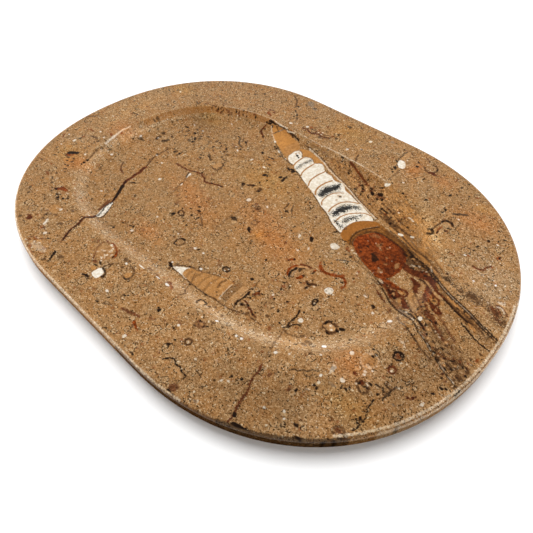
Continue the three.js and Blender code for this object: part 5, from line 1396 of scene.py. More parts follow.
def tones_with_painted_light():
    """Broad soft patches that make the stone redder, golden, paler or duskier; a few are painted
    light: a painted sheen on the upper right wall and on the right and left rim, and painted shade
    over the near right rim.
    """
    red, golden, dusky = (1.14, 0.92, 0.76), (1.10, 1.04, 0.82), (0.74, 0.72, 0.70)
    for gain, *patch in (
            (red, 106, 74, 24, 18), (red, 74, 93, 12, 10), (red, 108, -48, 18, 14),
            (red, 55, 91, 10, 18), (red, -32, -18, 44, 16, -20), (red, 22, -8, 60, 22, -20),
            (red, -30, -55, 20, 10), (red, -118, -8, 16, 16), (red, -106, -52, 16, 14),
            (golden, 120, -64, 26, 12), (golden, -90, 48, 20, 12), (golden, 103, 86, 8, 6),
            (golden, 18, -13, 8, 8), (golden, -12, 26, 40, 24),
            ((1.12, 1.08, 0.96), 70, 56, 50, 20, -20),
            (golden, 2, 96, 30, 20), (golden, -120, -50, 20, 16), (golden, -130, 55, 24, 14),
            # these two lines: painted sheen on the upper right wall, on the right rim and on the
            # left rim, and painted shade over the near right rim
            ((1.38, 1.40, 1.36), 94, 46, 26, 9, -45), ((1.14, 1.26, 1.50), 132, 38, 30, 34, 20),
            ((1.16, 1.18, 1.16), -134, 10, 20, 60), ((0.69, 0.67, 0.63), 96, -84, 90, 36, 30),
            (dusky, 132, -36, 30, 50), ((0.88, 0.86, 0.84), 136, -20, 30, 20),
            ((0.92, 0.88, 0.82), 132, -2, 30, 30), ((0.72, 0.66, 0.60), 87, 22, 12, 24),
            ((1.10, 0.98, 0.86), 64, 23, 10, 16), ((1.15, 1.14, 1.10), -32, 63, 20, 10),
            (dusky, -90, 40, 30, 20), (dusky, 84, 42, 34, 8, -38)):
        cloud(gain, *patch)


for draw in (fossil_tip, white_chambers, septa, chamber_growths, living_chamber, net_ground,
             dark_wedge, upper_net, middle_net, lower_net, net_tail, net_crumbs, smudges,
             shell_walls, far_wall, second_fossil, wide_end_crumbs, cracks, white_fragments,
             right_slivers, right_rings, floor_marks, rusty_curls, near_marks, left_floor_marks,
             left_growths, far_floor_growths, far_rim, loose_crumbs, left_shells, left_rim,
             near_left_rim, near_rim, far_rim_marks, painted_shoulder_highlights, arris_light_and_shade, tones_with_painted_light):
    draw()


# ---------------------------------------------------------------- mesh

SKIN_INSET = 0.05       # keeps the smooth skin inside the faceted solid's box
GRAIN_SPACING = 1.15    # between the mesh points of plain stone on the upper face
EDGE_SPACING = 1.5      # between the mesh points round the edge
FIXED_SPACING = 0.28    # least spacing of the points that follow the wall and the marks
GRAIN_GAP = 0.45        # least gap from those to a point of plain stone, in grain spacings
GRAIN_MARGIN = 0.5      # from the border to plain stone, in grain spacings
MARK_MARGIN = 0.3       # from the border to the points of the marks
WALL_INSETS = (-0.7, 0, 0.35, 0.7, 1.05, 1.4, 1.9, 2.6, 3.4, 4.3)  # rings down the dish's wall
BASE_INSETS = (1.0, 4.0, 12.0, 30.0, 60.0)  # rings of the base, inside its rim
MERGE_DISTANCE = 1e-5
INSIDE_ONLY = 1         # the kind of triangulation that leaves out what lies past the border
TOP_ARRIS_RINGS = 5
SIDE_RINGS = 4
LOWER_ARRIS_RINGS = 3
UNDERCUT_RINGS = 8


def drop_near(points, fixed, gap):
    """Points with those nearer than `gap` to a fixed point left out."""
    tree = KDTree(len(fixed))
    for index, (x, y) in enumerate(fixed):
        tree.insert((x, y, 0), index)
    tree.balance()
    far = [tree.find((x, y, 0))[2] > gap for x, y in points]
    return points[np.array(far)]


def thin_out(points, gap):
    """The points without those that share a cell `gap` wide with an earlier one."""
    _, kept = np.unique(np.round(points / gap), axis=0, return_index=True)
    return points[np.sort(kept)]


def grain_grid(spacing):
    """A triangular grid over the plan of the slab."""
    columns = np.arange(-SLAB.length / 2, SLAB.length / 2, spacing)
    rows = np.arange(-SLAB.width / 2, SLAB.width / 2, spacing * np.sqrt(3) / 2)
    x, y = np.meshgrid(columns, rows)
    x[1::2] += spacing / 2
    return np.c_[x.ravel(), y.ravel()]


def inside_border(points, margin):
    """The points more than `margin` inside the border of the upper face."""
    inset, _ = inset_and_angle(SLAB, points)
    return points[inset > TOP_ARRIS_RADIUS + SKIN_INSET + margin]


def upper_face(border, mark_points):
    """The upper face, triangulated in plan and then raised to its height.

    Gives its vertices, its triangles and the indices of the vertices along its border.
    """
    wall_stations = oval_stations(DISH, GRAIN_SPACING)
    wall = np.vstack([oval_points(DISH, inset, wall_stations) for inset in WALL_INSETS])
    grid = inside_border(grain_grid(GRAIN_SPACING), GRAIN_MARGIN * GRAIN_SPACING)
    marks = inside_border(mark_points, MARK_MARGIN)
    fixed = thin_out(np.vstack([wall, marks]), FIXED_SPACING)
    grid = drop_near(grid, fixed, GRAIN_GAP * GRAIN_SPACING)
    plan = np.vstack([border, fixed, grid])
    loop = list(range(len(border)))
    flat_points, _, faces, sources, _, _ = delaunay_2d_cdt(
        [tuple(p) for p in plan], [], [loop], INSIDE_ONLY, MERGE_DISTANCE, True)
    flat = np.array([tuple(p) for p in flat_points])
    first = {source[0]: index for index, source in enumerate(sources) if source}
    triangles = [tuple(face) for face in faces]
    return np.c_[flat, dish_height(flat)], triangles, [first[i] for i in loop]


def edge_profile():
    """(inset, height) of each ring, from the top arris down to the middle of the base."""
    foot = THICKNESS - SIDE_HEIGHT
    turn = np.pi / 2 - np.arctan2(foot, UNDERCUT)
    arc_z = foot + LOWER_ARRIS_RADIUS * np.tan(turn / 2)
    profile = [(TOP_ARRIS_RADIUS * (1 - np.sin(a)), THICKNESS - TOP_ARRIS_RADIUS * (1 - np.cos(a)))
               for a in np.linspace(0, np.pi / 2, TOP_ARRIS_RINGS + 1)[1:]]
    profile += [(0, z) for z in np.linspace(THICKNESS - TOP_ARRIS_RADIUS, arc_z, SIDE_RINGS + 1)[1:]]
    profile += [(LOWER_ARRIS_RADIUS * (1 - np.cos(a)), arc_z - LOWER_ARRIS_RADIUS * np.sin(a))
                for a in np.linspace(0, turn, LOWER_ARRIS_RINGS + 1)[1:]]
    last_inset, last_z = profile[-1]
    profile += [(last_inset + share * (UNDERCUT - last_inset), last_z * (1 - share))
                for share in np.linspace(0, 1, UNDERCUT_RINGS + 1)[1:]]
    return profile + [(UNDERCUT + step, 0) for step in BASE_INSETS]


def build_plate(mark_points):
    """The plate's closed skin, upper face first.

    Gives the vertices (mm), the faces, how many vertices the upper face has and how many faces
    are polished.
    """
    around = oval_stations(SLAB, EDGE_SPACING)
    count = len(around)

    def slab_ring(inset, z):
        """The vertices round the slab at one inset and height."""
        flat = oval_points(SLAB, inset + SKIN_INSET, around)
        return np.c_[flat, np.full(count, z)]

    border = slab_ring(TOP_ARRIS_RADIUS, THICKNESS)[:, :2]
    top, top_faces, upper = upper_face(border, mark_points)
    vertices = [top]
    lower_faces = []
    start = len(top)
    for inset, z in edge_profile():
        vertices.append(slab_ring(inset, z))
        lower = list(range(start, start + count))
        lower_faces += [(upper[i], lower[i], lower[(i + 1) % count], upper[(i + 1) % count])
                        for i in range(count)]
        upper = lower
        start += count
    vertices.append(np.array([[0.0, 0.0, 0.0]]))
    lower_faces += [(upper[i], start, upper[(i + 1) % count]) for i in range(count)]
    polished = len(top_faces) + TOP_ARRIS_RINGS * count
    return np.vstack(vertices), top_faces + lower_faces, len(top), polished


# ---------------------------------------------------------------- tone of the stone by place

# Painted light and shade on the edge by direction (degrees): brightness of the rounded arris, its
# painted highlight or dark reflection, then of the side, its painted shade.
EDGE_LIGHT_AND_SHADE = ((-180, 1.2, 0.9), (-150, 1.3, 1.0), (-125, 1.3, 0.95), (-105, 1.2, 0.8),
              (-85, 1.1, 0.7), (-70, 1.0, 0.55), (-58, 0.9, 0.4), (-40, 0.9, 0.38),
              (-30, 0.9, 0.45), (-20, 1.1, 0.6), (0, 1.1, 0.8), (90, 1.1, 0.6))
EDGE_WARMTH = (1.0, 0.9, 0.78)
ARRIS_FADE = 0.3        # how far below the face the arris has its painted highlight in full
SIDE_START = 0.7        # how far below the face the painted shade of the side begins, in arris radii
SIDE_FADE = 0.5         # over how many arris radii it takes over

# A painted highlight: the pale band of reflected light on the dish's polished wall, by
# direction (degrees): its brightness, how far down the wall its middle lies (mm) and its half width
# (mm).
WALL_HIGHLIGHTS = ((-180, 1.5, 4.5, 3.0), (-149, 1.45, 3.0, 2.6), (-125, 1.45, 3.4, 2.8),
              (-105, 1.4, 4.5, 3.4), (-80, 1.45, 5.0, 4.0), (-48, 1.7, 5.5, 4.5),
              (-30, 1.6, 7.0, 5.0), (-11, 1.22, 8.5, 5.0), (10, 1.0, 3.0, 3.0), (25, 1.15, 3.0, 3.0),
              (54, 1.1, 8.0, 4.0), (107, 1.0, 3.0, 2.6), (152, 1.12, 3.3, 2.6))
# how much whiter the wall's painted highlight turns in red, green and blue
HIGHLIGHT_WHITENESS = (1.0, 1.35, 1.9)

# Contrast of the stone's grains on the dish floor and on the rim, and how far down the wall
# (mm) the one passes into the other.
CALM, BUSY = 0.58, 0.8
WALL_REACH = 8.0
HIGHLIGHT_CALM = 1.6         # how fast the grains fade where the wall's painted highlight turns pale
# Crumbly or smooth places: contrast, x, y, length, width, turn.
CRUMBLY = ((1.5, -70, 72, 50, 9, 12), (1.2, 138, -24, 44, 24, -20), (0.85, 80, -96, 60, 30, 30),
           (0.95, 110, -66, 40, 30, 50), (1.7, 50, 60, 60, 12, -15), (0.9, 20, 96, 60, 16, -5),
           (0.6, 120, -14, 20, 16, 0), (1.0, 120, 60, 30, 30, 0), (0.9, -110, 60, 50, 30, 30),
           (0.6, -100, -62, 40, 30, 0))

SAWN_START = 0.5        # how far below the side the sawn stone begins
SAWN_FADE = 1.5         # over what height it takes over


def by_bearing(table, points):
    """The values of a table by direction, at each point."""
    bearings, *rows = np.array(table).T
    bearing = np.degrees(np.arctan2(points[:, 1], points[:, 0]))
    return (np.interp(bearing, bearings, row, period=360) for row in rows)


def wall_highlight(points):
    """A painted highlight: how much brighter the pale band of reflected light on the dish's wall is
    made.
    """
    tone, middle, half = by_bearing(WALL_HIGHLIGHTS, points)
    inset, _ = inset_and_angle(DISH, points)
    return 1 + np.exp(-((inset - middle) / half) ** 2) * (tone - 1)


def crumbs(points):
    """How strongly the stone's grains stand out: calm on the dish floor, busy round the rim, fainter
    under the wall's painted highlight.
    """
    inset, _ = inset_and_angle(DISH, points)
    contrast = CALM + (BUSY - CALM) * (1 - inset / WALL_REACH).clip(0, 1)
    for level, *patch in CRUMBLY:
        contrast += soft_oval(points, *patch) * (level - contrast)
    return contrast / wall_highlight(points) ** HIGHLIGHT_CALM


def edge_light_and_shade(vertices, top_count):
    """Painted light and shade: how much paler or darker the arris and the side are made than the
    face, by direction.
    """
    arris, side = by_bearing(EDGE_LIGHT_AND_SHADE, vertices)
    drop = THICKNESS - vertices[:, 2]
    on_arris = (drop / ARRIS_FADE).clip(0, 1)
    on_side = (drop - TOP_ARRIS_RADIUS * SIDE_START) / (TOP_ARRIS_RADIUS * SIDE_FADE)
    on_side = on_side.clip(0, 1)
    shade = 1 + on_arris * (arris - 1)
    shade += on_side * (side - shade)
    shade[:top_count] = 1
    warmth = np.array(EDGE_WARMTH) ** on_side[:, None]
    warmth[:top_count] = 1
    return shade[:, None] * warmth


def store(mesh, name, values):
    """Keep three values for each vertex, for the stone's shader to read by name."""
    attribute = mesh.attributes.new(name, "FLOAT_VECTOR", "POINT")
    attribute.data.foreach_set("vector", values.ravel())


def store_looks(mesh, vertices, top_count):
    """Store the marks, the tone with the painted highlights and shade, the strength of the grains
    and how sawn the stone is.
    """
    plan = vertices[:, :2]
    seen = vertices[:, 2] > THICKNESS - SIDE_HEIGHT
    seen[:top_count] = True
    layers = paint(plan[seen])
    for kind in KINDS:
        values = np.tile(NO_MARK, (len(vertices), 1))
        values[seen] = layers[kind]
        store(mesh, kind, values)
    # the tone takes in the wall's painted highlight here, and the edge's painted light and shade
    # below
    tone = tone_and_painted_light(plan) * wall_highlight(plan)[:, None] ** np.array(HIGHLIGHT_WHITENESS)
    store(mesh, "tone_and_painted_light", tone * edge_light_and_shade(vertices, top_count))
    sawn = ((THICKNESS - SIDE_HEIGHT - SAWN_START - vertices[:, 2]) / SAWN_FADE).clip(0, 1)
    sawn[:top_count] = 0
    for name, share in (("crumbs", crumbs(plan)), ("sawn", sawn)):
        store(mesh, name, np.c_[share, share, share])


def make_plate():
    """The plate: its skin, the values its shader reads and its two stones."""
    mark_points = np.vstack([mark.mesh_points for mark in MARKS])
    vertices, faces, top_count, polished = build_plate(mark_points)
    mesh = bpy.data.meshes.new("fossil_plate")
    mesh.from_pydata((vertices * MM).tolist(), [], faces)
    mesh.polygons.foreach_set("use_smooth", np.ones(len(faces), bool))
    mesh.polygons.foreach_set("material_index", (np.arange(len(faces)) >= polished).astype(int))
    mesh.update()
    store_looks(mesh, vertices, top_count)
    mesh.materials.append(make_stone("polished_limestone", FACE_SHEEN))
    mesh.materials.append(make_stone("ground_limestone", EDGE_SHEEN))
    plate = bpy.data.objects.new("fossil_plate", mesh)
    bpy.context.scene.collection.objects.link(plate)
    print("plate triangles", sum(len(p.vertices) - 2 for p in mesh.polygons))
    return plate


# ---------------------------------------------------------------- material

FLECK_EDGE = (1.3, 0.6)     # where a fleck's soft edge ends and begins, in radii
HAIR_EDGE = (0.75, 0.25)    # and a hairline's, in widths


class Graph:
    """Short calls for wiring shader nodes together."""

    def __init__(self, tree):
        """Work on the nodes and links of one node tree."""
        self.nodes = tree.nodes
        self.links = tree.links

    def link(self, value, socket):
        """Give a socket a constant or another node's output."""
        if isinstance(value, bpy.types.NodeSocket):
            self.links.new(value, socket)
        else:
            socket.default_value = value

    def node(self, kind, *values, **settings):
        """A node with its settings, and with values for its first sockets in use."""
        node = self.nodes.new("ShaderNode" + kind)
        for name, setting in settings.items():
            setattr(node, name, setting)
        for value, socket in zip(values, [s for s in node.inputs if s.enabled]):
            if value is not None:
                self.link(value, socket)
        return node

    def math(self, operation, *values, clamp=False):
        """The result of an operation on numbers."""
        return self.node("Math", *values, operation=operation, use_clamp=clamp).outputs[0]

    def vector(self, operation, *values):
        """The result of an operation on vectors or colours."""
        return self.node("VectorMath", *values, operation=operation).outputs[0]

    def shifted(self, place, *shift):
        """A place moved by x, y and z."""
        return self.vector("ADD", place, shift)

    def scaled(self, place, *factors):
        """A place stretched in x, y and z."""
        return self.vector("MULTIPLY", place, factors)

    def stored(self, name, output):
        """What the mesh keeps under a name for each vertex."""
        return self.node("Attribute", attribute_name=name).outputs[output]

    def noise(self, place, scale, detail=2.0, roughness=0.5):
        """Noise in 0..1 with features about 1/scale mm across."""
        return self.node("TexNoise", place, scale, detail, roughness).outputs["Fac"]

    def pushed(self, place, by, scale, detail, reach):
        """A place pushed about within `reach` mm by a noise at the place `by`."""
        push = self.node("TexNoise", by, scale, detail, 0.6).outputs["Color"]
        return self.vector("ADD", place, self.scaled(push, reach, reach, reach))

    def grains(self, place, scale):
        """A random value in 0..1 for each crystal grain, about 1/scale mm across."""
        node = self.node("TexVoronoi", place)
        node.inputs["Scale"].default_value = scale
        return self.node("SeparateXYZ", node.outputs["Color"]).outputs[0]

    def flecks(self, place, scale, radius, share, ring=0.0):
        """Round flecks of `radius` mm (or rings `ring` mm wide) in a `share` of 1/scale mm cells."""
        node = self.node("TexVoronoi", place)
        node.inputs["Scale"].default_value = scale
        distance = node.outputs["Distance"]
        if ring:
            distance = self.math("ABSOLUTE", self.math("SUBTRACT", distance, radius * scale))
        reach = (ring or radius) * scale
        shape = self.ramp(distance, *(reach * share for share in FLECK_EDGE))
        lot = self.node("SeparateXYZ", node.outputs["Color"]).outputs[0]
        return self.math("MULTIPLY", shape, self.math("LESS_THAN", lot, share))

    def hairlines(self, place, scale, width):
        """Fine lines `width` mm wide along the borders of cells 1/scale mm across."""
        node = self.node("TexVoronoi", place, feature="DISTANCE_TO_EDGE")
        node.inputs["Scale"].default_value = scale
        return self.ramp(node.outputs["Distance"], *(width * scale * share for share in HAIR_EDGE))

    def tone_curve(self, value, *stops):
        """A grey that runs through the (position, brightness) stops."""
        node = self.node("ValToRGB", value)
        band = node.color_ramp
        for position, _ in stops[2:]:
            band.elements.new(position)
        for element, (position, brightness) in zip(band.elements, stops):
            element.position = position
            element.color = (brightness, brightness, brightness, 1)
        return node.outputs[0]

    def ramp(self, value, start, end):
        """A smooth step from 0 at `start` to 1 at `end`, whichever of them is larger."""
        return self.node("MapRange", value, start, end, 0.0, 1.0,
                         interpolation_type="SMOOTHSTEP").outputs[0]

    def mix(self, share, first, second):
        """The first colour where the share is 0, the second where it is 1."""
        node = self.node("Mix", data_type="RGBA")
        self.link(share, node.inputs["Factor"])
        self.link(first, node.inputs[6])
        self.link(second, node.inputs[7])
        return node.outputs[2]

    def blend(self, share, first, second):
        """The first number where the share is 0, the second where it is 1."""
        return self.node("Mix", share, first, second).outputs[0]


@dataclass(frozen=True)
class Paint:
    """How one kind of mark looks.

    Its two colours lie in blotches, or in streaks along the main fossil where it is `streaked`.
    Its edge is soft over `softness` mm and wanders within `raggedness` mm, and where it is
    `speckled` it breaks up into grains. `grain` is how strongly the stone's grains show in it,
    and `spread` (mm) widens every mark of the kind.
    """

    first: tuple
    second: tuple
    softness: float = 0.25
    raggedness: float = 0.8
    grain: float = 0.4
    roughness: float = 0.25
    spread: float = 0.0
    speckled: bool = False
    streaked: bool = False


PAINTS = {
    "dusk": Paint((0.12, 0.058, 0.022), (0.065, 0.030, 0.012), 0.5, 4.0, 0.8, 0.30, speckled=True),
    "strata": Paint((0.42, 0.185, 0.050), (0.09, 0.034, 0.008), 0.8, 3.0, 0.8, 0.28, streaked=True),
    "ochre": Paint((0.44, 0.20, 0.054), (0.35, 0.155, 0.042), 0.25, 0.5, 0.4, 0.22),
    "amber": Paint((0.29, 0.108, 0.021), (0.235, 0.085, 0.015), 0.25, 0.5, 0.4, 0.22),
    "bronze": Paint((0.22, 0.085, 0.016), (0.11, 0.037, 0.006), 0.3, 1.0, 0.8, 0.25),
    "umber": Paint((0.075, 0.028, 0.008), (0.038, 0.014, 0.004), 0.35, 1.4, 0.5, 0.35, 0.13),
    "brick": Paint((0.215, 0.045, 0.008), (0.085, 0.015, 0.002), 0.35, 1.2, 1.2, 0.22, 0.1),
    "rust": Paint((0.115, 0.027, 0.006), (0.050, 0.010, 0.002), 0.35, 1.3, 0.9, 0.35, 0.2),
    "buff": Paint((0.42, 0.23, 0.095), (0.33, 0.165, 0.06), 0.4, 1.3, 0.8, 0.25),
    "calcite": Paint((0.72, 0.67, 0.58), (0.58, 0.49, 0.37), 0.22, 0.7, 0.15, 0.20),
    "tan": Paint((0.38, 0.19, 0.070), (0.25, 0.115, 0.036), 0.25, 0.4, 0.3, 0.22),
    "grey": Paint((0.20, 0.155, 0.11), (0.10, 0.073, 0.05), 0.35, 1.2, 0.6, 0.30),
    "pepper": Paint((0.035, 0.033, 0.03), (0.015, 0.013, 0.011), 0.3, 2.6, 0.3, 0.35, 0.1,
                    speckled=True),
    # the black kind is also the painted dark reflection along the near arris, and cream the painted
    # highlight lines along the arrises and the dish's shoulder
    "black_and_dark_reflection": Paint((0.018, 0.007, 0.002), (0.008, 0.003, 0.001), 0.26, 1.3, 0.3, 0.40, 0.10),
    "cream": Paint((0.62, 0.50, 0.36), (0.48, 0.35, 0.22), 0.3, 1.2, 0.8, 0.25),
}
FOSSIL_DIRECTION = np.radians(27)
STREAK_STRETCH = (0.16, 0.8, 0.5)   # draws the streaks out along the main fossil

FACE_SHEEN = 0.10       # the face is polished, the edge and the underside are only ground
EDGE_SHEEN = 0.0
POLISH = 0.14           # roughness of the polished face, and how far it wanders
POLISH_WANDER = 0.2
SAWN_ROUGHNESS = 0.6
SAWN_SHARE = 0.75       # how far the sawn colour hides the stone's own
BUMP_STRENGTH = 0.35
BUMP_DEPTH = 0.05

STONE = (0.272, 0.138, 0.050)
STONE_WARM = (0.290, 0.136, 0.0435)
STONE_COOL = (0.238, 0.134, 0.057)
STONE_ORANGE = (0.35, 0.148, 0.038)
SAWN_STONE = (0.20, 0.125, 0.065)
STONE_GOLD = (0.40, 0.225, 0.095)
RED_CRUMB = (0.20, 0.055, 0.015)
GOLD_CRUMB = (0.50, 0.33, 0.17)
DARK_CRUMB = (0.036, 0.014, 0.004)
BLACK_CRUMB = (0.022, 0.010, 0.004)
PALE_CRUMB = (0.62, 0.50, 0.34)

# Grains and clumps of grains: grains per mm, then (share of the grains, brightness) stops.
GRIT_SCALE = 2.5
GRIT_TONES = ((0.0, 0.16), (0.12, 0.62), (0.3, 0.92), (0.7, 1.08), (0.88, 1.38), (1.0, 2.3))
CLUMP_SCALE = 0.7
CLUMP_TONES = ((0.0, 0.86), (0.12, 0.96), (0.3, 1.0), (0.7, 1.0), (0.88, 1.04), (1.0, 1.13))
GRIT_POWERS = (0.86, 1.08, 1.42)    # dark grains turn redder and pale ones bluer


def rgb(colour):
    """A colour with the alpha that a colour socket wants."""
    return (*colour, 1.0)


class Field:
    """Places and noises that all layers of the stone share, in plate millimetres."""

    def __init__(self, graph):
        """Wire them into the graph."""
        metres = graph.node("TexCoord").outputs["Object"]
        self.place = graph.vector("SCALE", metres, 1 / MM)
        self.crooked = graph.pushed(self.place, self.place, 0.9, 2.0, 1.6)
        self.wandering = graph.pushed(self.crooked, self.place, 0.12, 3.0, 14)
        self.fine = graph.noise(self.place, 1.3, 2.0, 0.6)
        self.medium = graph.noise(graph.shifted(self.place, 31, 7, 3), 0.55, 3.0, 0.6)
        self.broad = graph.noise(graph.shifted(self.place, 11, 53, 9), 0.09, 3.0, 0.55)
        self.ragged = graph.noise(graph.shifted(self.place, 3, 17, 23), 0.9, 4.0, 0.75)
        self.grain = graph.grains(self.crooked, GRIT_SCALE)


def grain_gain(graph, field):
    """How much brighter or darker each grain of the stone is, from near black to near white."""
    grit = graph.tone_curve(field.grain, *GRIT_TONES)
    clumps = graph.grains(graph.shifted(field.crooked, 5, 41, 13), CLUMP_SCALE)
    clumps = graph.tone_curve(clumps, *CLUMP_TONES)
    waves = graph.math("MULTIPLY_ADD", field.medium, 0.4, 0.8)
    gain = graph.math("MULTIPLY", graph.math("MULTIPLY", grit, clumps), waves)
    return graph.math("POWER", gain, graph.stored("crumbs", "Fac"))


def plain_stone(graph, field, gain):
    """Broad mottling and orange patches, with the grains in them."""
    colour = graph.mix(graph.ramp(field.broad, 0.38, 0.62), rgb(STONE_COOL), rgb(STONE_WARM))
    colour = graph.mix(0.5, colour, rgb(STONE))
    orange = graph.noise(graph.shifted(field.place, 71, 5, 1), 0.3, 3.0, 0.6)
    orange = graph.math("MULTIPLY", graph.ramp(orange, 0.56, 0.74), 0.5)
    colour = graph.mix(orange, colour, rgb(STONE_ORANGE))
    uneven = graph.node("CombineXYZ", *(graph.math("POWER", gain, power) for power in GRIT_POWERS))
    return graph.vector("MULTIPLY", colour, uneven.outputs[0])


def shell_debris(graph, field, colour):
    """Golden, red, dark and pale flecks, broken rings with golden rims, and hairlines.

    A row of flecks gives the shift of its pattern, cells in a mm, radius (mm), share of the
    cells in use and the width (mm) of a ring; a row of hairlines its shift, cells in a mm and
    width (mm). Then come the colour and how strongly it covers.
    """
    broken = graph.ramp(field.ragged, 0.44, 0.54)
    rare = graph.ramp(field.medium, 0.5, 0.6)
    seldom = graph.noise(graph.shifted(field.place, 91, 3, 7), 0.07, 2.0, 0.5)
    seldom = graph.ramp(seldom, 0.42, 0.6)
    slivers = graph.scaled(graph.shifted(field.crooked, 5, 3, 9), 0.5, 1.5, 1.0)

    def flecks(shift, *look, ring=0.0):
        """Flecks or rings in the crooked stone."""
        return graph.flecks(graph.shifted(field.crooked, *shift), *look, ring=ring)

    def hairlines(shift, *look):
        """Hairlines that wander."""
        return graph.hairlines(graph.shifted(field.wandering, *shift), *look)

    for shape, crumb, strength in (
            (flecks((3, 9, 2), 0.32, 1.2, 0.3), STONE_GOLD, 0.4),
            (flecks((8, 2, 5), 0.45, 0.8, 0.10), RED_CRUMB, 0.6),
            (hairlines((13, 22, 7), 0.10, 0.5), STONE_GOLD, graph.math("MULTIPLY", rare, 0.8)),
            (graph.flecks(slivers, 0.9, 0.40, 0.18), GOLD_CRUMB, 0.8),
            (flecks((1, 4, 6), 0.30, 1.15, 0.16, ring=0.3), GOLD_CRUMB, 0.5),
            (flecks((6, 7, 1), 0.16, 2.2, 0.2, ring=0.3), GOLD_CRUMB, 0.4),
            (flecks((1, 4, 6), 0.30, 1.5, 0.16, ring=0.2), BLACK_CRUMB, broken),
            (flecks((6, 7, 1), 0.16, 2.6, 0.2, ring=0.22), BLACK_CRUMB, broken),
            (flecks((2, 9, 4), 0.45, 0.8, 0.14, ring=0.16), BLACK_CRUMB, broken),
            (hairlines((0, 0, 0), 0.06, 0.34), DARK_CRUMB, graph.math("MULTIPLY", rare, seldom)),
            (flecks((2, 5, 8), 0.75, 0.42, 0.10), DARK_CRUMB, 0.9),
            (flecks((7, 1, 4), 1.5, 0.3, 0.14), BLACK_CRUMB, 1.0),
            (flecks((9, 3, 5), 1.7, 0.3, 0.14), GOLD_CRUMB, 0.8),
            (flecks((4, 6, 3), 1.4, 0.28, 0.08), PALE_CRUMB, 0.75),
            (flecks((9, 8, 7), 0.5, 0.5, 0.03), PALE_CRUMB, 0.85)):
        colour = graph.mix(graph.math("MULTIPLY", shape, strength), colour, rgb(crumb))
    return colour


def painted(graph, field, gain, colour, roughness):
    """The colour and roughness with the marks over them, one kind over another."""
    blotches = graph.ramp(field.medium, 0.35, 0.65)
    turned = graph.node("VectorRotate", field.crooked, None, (0.0, 0.0, 1.0), FOSSIL_DIRECTION)
    streaks = graph.noise(graph.scaled(turned.outputs[0], *STREAK_STRETCH), 1.0, 4.0, 0.7)
    streaks = graph.ramp(streaks, 0.62, 0.40)
    rag = graph.math("SUBTRACT", field.ragged, 0.5)
    speckle = graph.math("MULTIPLY_ADD", graph.math("SUBTRACT", field.grain, 0.5), 0.5, rag)
    for kind in KINDS:
        look = PAINTS[kind]
        distance, amount, _ = graph.node("SeparateXYZ", graph.stored(kind, "Vector")).outputs
        wander = speckle if look.speckled else rag
        edge = graph.math("MULTIPLY_ADD", wander, 2.0 * look.raggedness, distance)
        share = graph.ramp(edge, look.spread + look.softness, look.spread - look.softness)
        share = graph.math("MULTIPLY", share, amount)
        mark = graph.mix(streaks if look.streaked else blotches, rgb(look.first), rgb(look.second))
        mark = graph.vector("SCALE", mark, graph.math("POWER", gain, look.grain))
        colour = graph.mix(share, colour, mark)
        roughness = graph.blend(share, roughness, look.roughness)
    return colour, roughness


def make_stone(name, sheen):
    """Brown limestone full of shell debris, with the marks painted over it."""
    material = bpy.data.materials.new(name)
    material.use_nodes = True
    graph = Graph(material.node_tree)
    shader = graph.nodes["Principled BSDF"]
    field = Field(graph)
    gain = grain_gain(graph, field)
    colour = shell_debris(graph, field, plain_stone(graph, field, gain))
    roughness = graph.math("MULTIPLY_ADD", field.medium, POLISH_WANDER, POLISH)
    colour, roughness = painted(graph, field, gain, colour, roughness)
    # the stored tone brightens and darkens the colour with the painted highlights and shade
    colour = graph.vector("MULTIPLY", colour, graph.stored("tone_and_painted_light", "Vector"))

    # the sawn underside is greyer and duller than the polished face and edge
    sawn = graph.stored("sawn", "Fac")
    dusty = graph.vector("SCALE", SAWN_STONE, graph.math("MULTIPLY_ADD", field.fine, 0.8, 0.6))
    colour = graph.mix(graph.math("MULTIPLY", sawn, SAWN_SHARE), colour, dusty)
    roughness = graph.blend(sawn, roughness, SAWN_ROUGHNESS)

    bump = graph.node("Bump")
    bump.inputs["Strength"].default_value = BUMP_STRENGTH
    bump.inputs["Distance"].default_value = BUMP_DEPTH * MM
    graph.link(graph.math("ADD", field.fine, field.medium), bump.inputs["Height"])
    graph.link(bump.outputs["Normal"], shader.inputs["Normal"])
    graph.link(colour, shader.inputs["Base Color"])
    graph.link(roughness, shader.inputs["Roughness"])
    shader.inputs["Specular IOR Level"].default_value = sheen
    return material


plate = make_plate()
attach(plate, "root")
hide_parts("plate")


# ---------------------------------------------------------------- floor, light and camera

CAMERA_AZIMUTH = np.radians(43.503)
CAMERA_ELEVATION = np.radians(49.249)
CAMERA_DISTANCE = 262.9
CAMERA_TARGET = (32.82, -21.98, -1.27)
FOCAL_PIXELS = 465.08
FRAME_PIXELS = 533
SENSOR = 36.0

TENT_TOP = 0.42         # radiance overhead
TENT_WALL = 2.0         # radiance at the horizon
TENT_POWER = 4.0
TENT_COLOUR = (1.0, 1.0, 1.0, 1.0)
KEY_AZIMUTH = np.radians(144)
KEY_ELEVATION = np.radians(75)
KEY_SPREAD = np.radians(46)
KEY_STRENGTH = 2.9
KEY_COLOUR = (1.0, 1.0, 1.0)

FLOOR_SIZE = 6000.0
FLOOR_COLOUR = (0.95, 0.95, 0.95, 1)
FLOOR_ROUGHNESS = 0.9


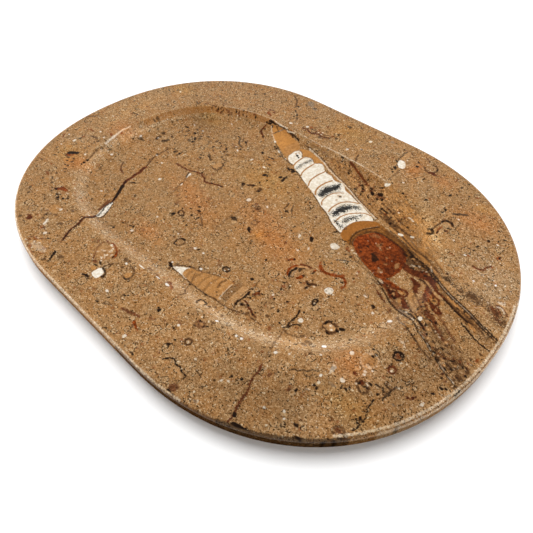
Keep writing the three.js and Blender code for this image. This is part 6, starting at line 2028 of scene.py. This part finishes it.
def make_floor():
    """A wide pale floor under the plate."""
    bpy.ops.mesh.primitive_plane_add(size=FLOOR_SIZE * MM, location=(0, 0, 0))
    floor = bpy.context.object
    floor.name = "floor"
    material = bpy.data.materials.new("pale_floor")
    material.use_nodes = True
    shader = material.node_tree.nodes["Principled BSDF"]
    shader.inputs["Base Color"].default_value = FLOOR_COLOUR
    shader.inputs["Roughness"].default_value = FLOOR_ROUGHNESS
    floor.data.materials.append(material)


def make_lights():
    """A pale tent, brightest at the horizon, and a broad high key from behind the plate."""
    world = bpy.data.worlds.new("studio")
    bpy.context.scene.world = world
    world.use_nodes = True
    graph = Graph(world.node_tree)
    direction = graph.node("TexCoord").outputs["Generated"]
    height = graph.node("SeparateXYZ", direction).outputs["Z"]
    lowness = graph.math("POWER", graph.math("SUBTRACT", 1.0, height, clamp=True), TENT_POWER)
    strength = graph.math("MULTIPLY_ADD", lowness, TENT_WALL - TENT_TOP, TENT_TOP)
    graph.link(strength, graph.nodes["Background"].inputs["Strength"])
    graph.nodes["Background"].inputs["Color"].default_value = TENT_COLOUR

    key = bpy.data.lights.new("key", "SUN")
    key.energy = KEY_STRENGTH
    key.angle = KEY_SPREAD
    key.color = KEY_COLOUR
    light = bpy.data.objects.new("key", key)
    toward = Vector((np.cos(KEY_AZIMUTH) * np.cos(KEY_ELEVATION),
                     np.sin(KEY_AZIMUTH) * np.cos(KEY_ELEVATION),
                     np.sin(KEY_ELEVATION)))
    light.rotation_euler = toward.to_track_quat("Z", "Y").to_euler()
    light.location = toward
    light.visible_glossy = False
    bpy.context.scene.collection.objects.link(light)


def make_camera():
    """The camera that took the photo, as solved from the plate's outline."""
    back = Vector((np.sin(CAMERA_AZIMUTH) * np.cos(CAMERA_ELEVATION),
                   -np.cos(CAMERA_AZIMUTH) * np.cos(CAMERA_ELEVATION),
                   np.sin(CAMERA_ELEVATION)))
    data = bpy.data.cameras.new("camera")
    data.sensor_width = SENSOR
    data.lens = FOCAL_PIXELS / FRAME_PIXELS * SENSOR
    data.clip_start = 0.01
    data.clip_end = 20
    camera = bpy.data.objects.new("camera", data)
    camera.location = (Vector(CAMERA_TARGET) + back * CAMERA_DISTANCE) * MM
    camera.rotation_euler = back.to_track_quat("Z", "Y").to_euler()
    bpy.context.scene.collection.objects.link(camera)
    bpy.context.scene.camera = camera


make_floor()
make_lights()
make_camera()
bpy.context.scene.view_settings.view_transform = "Standard"
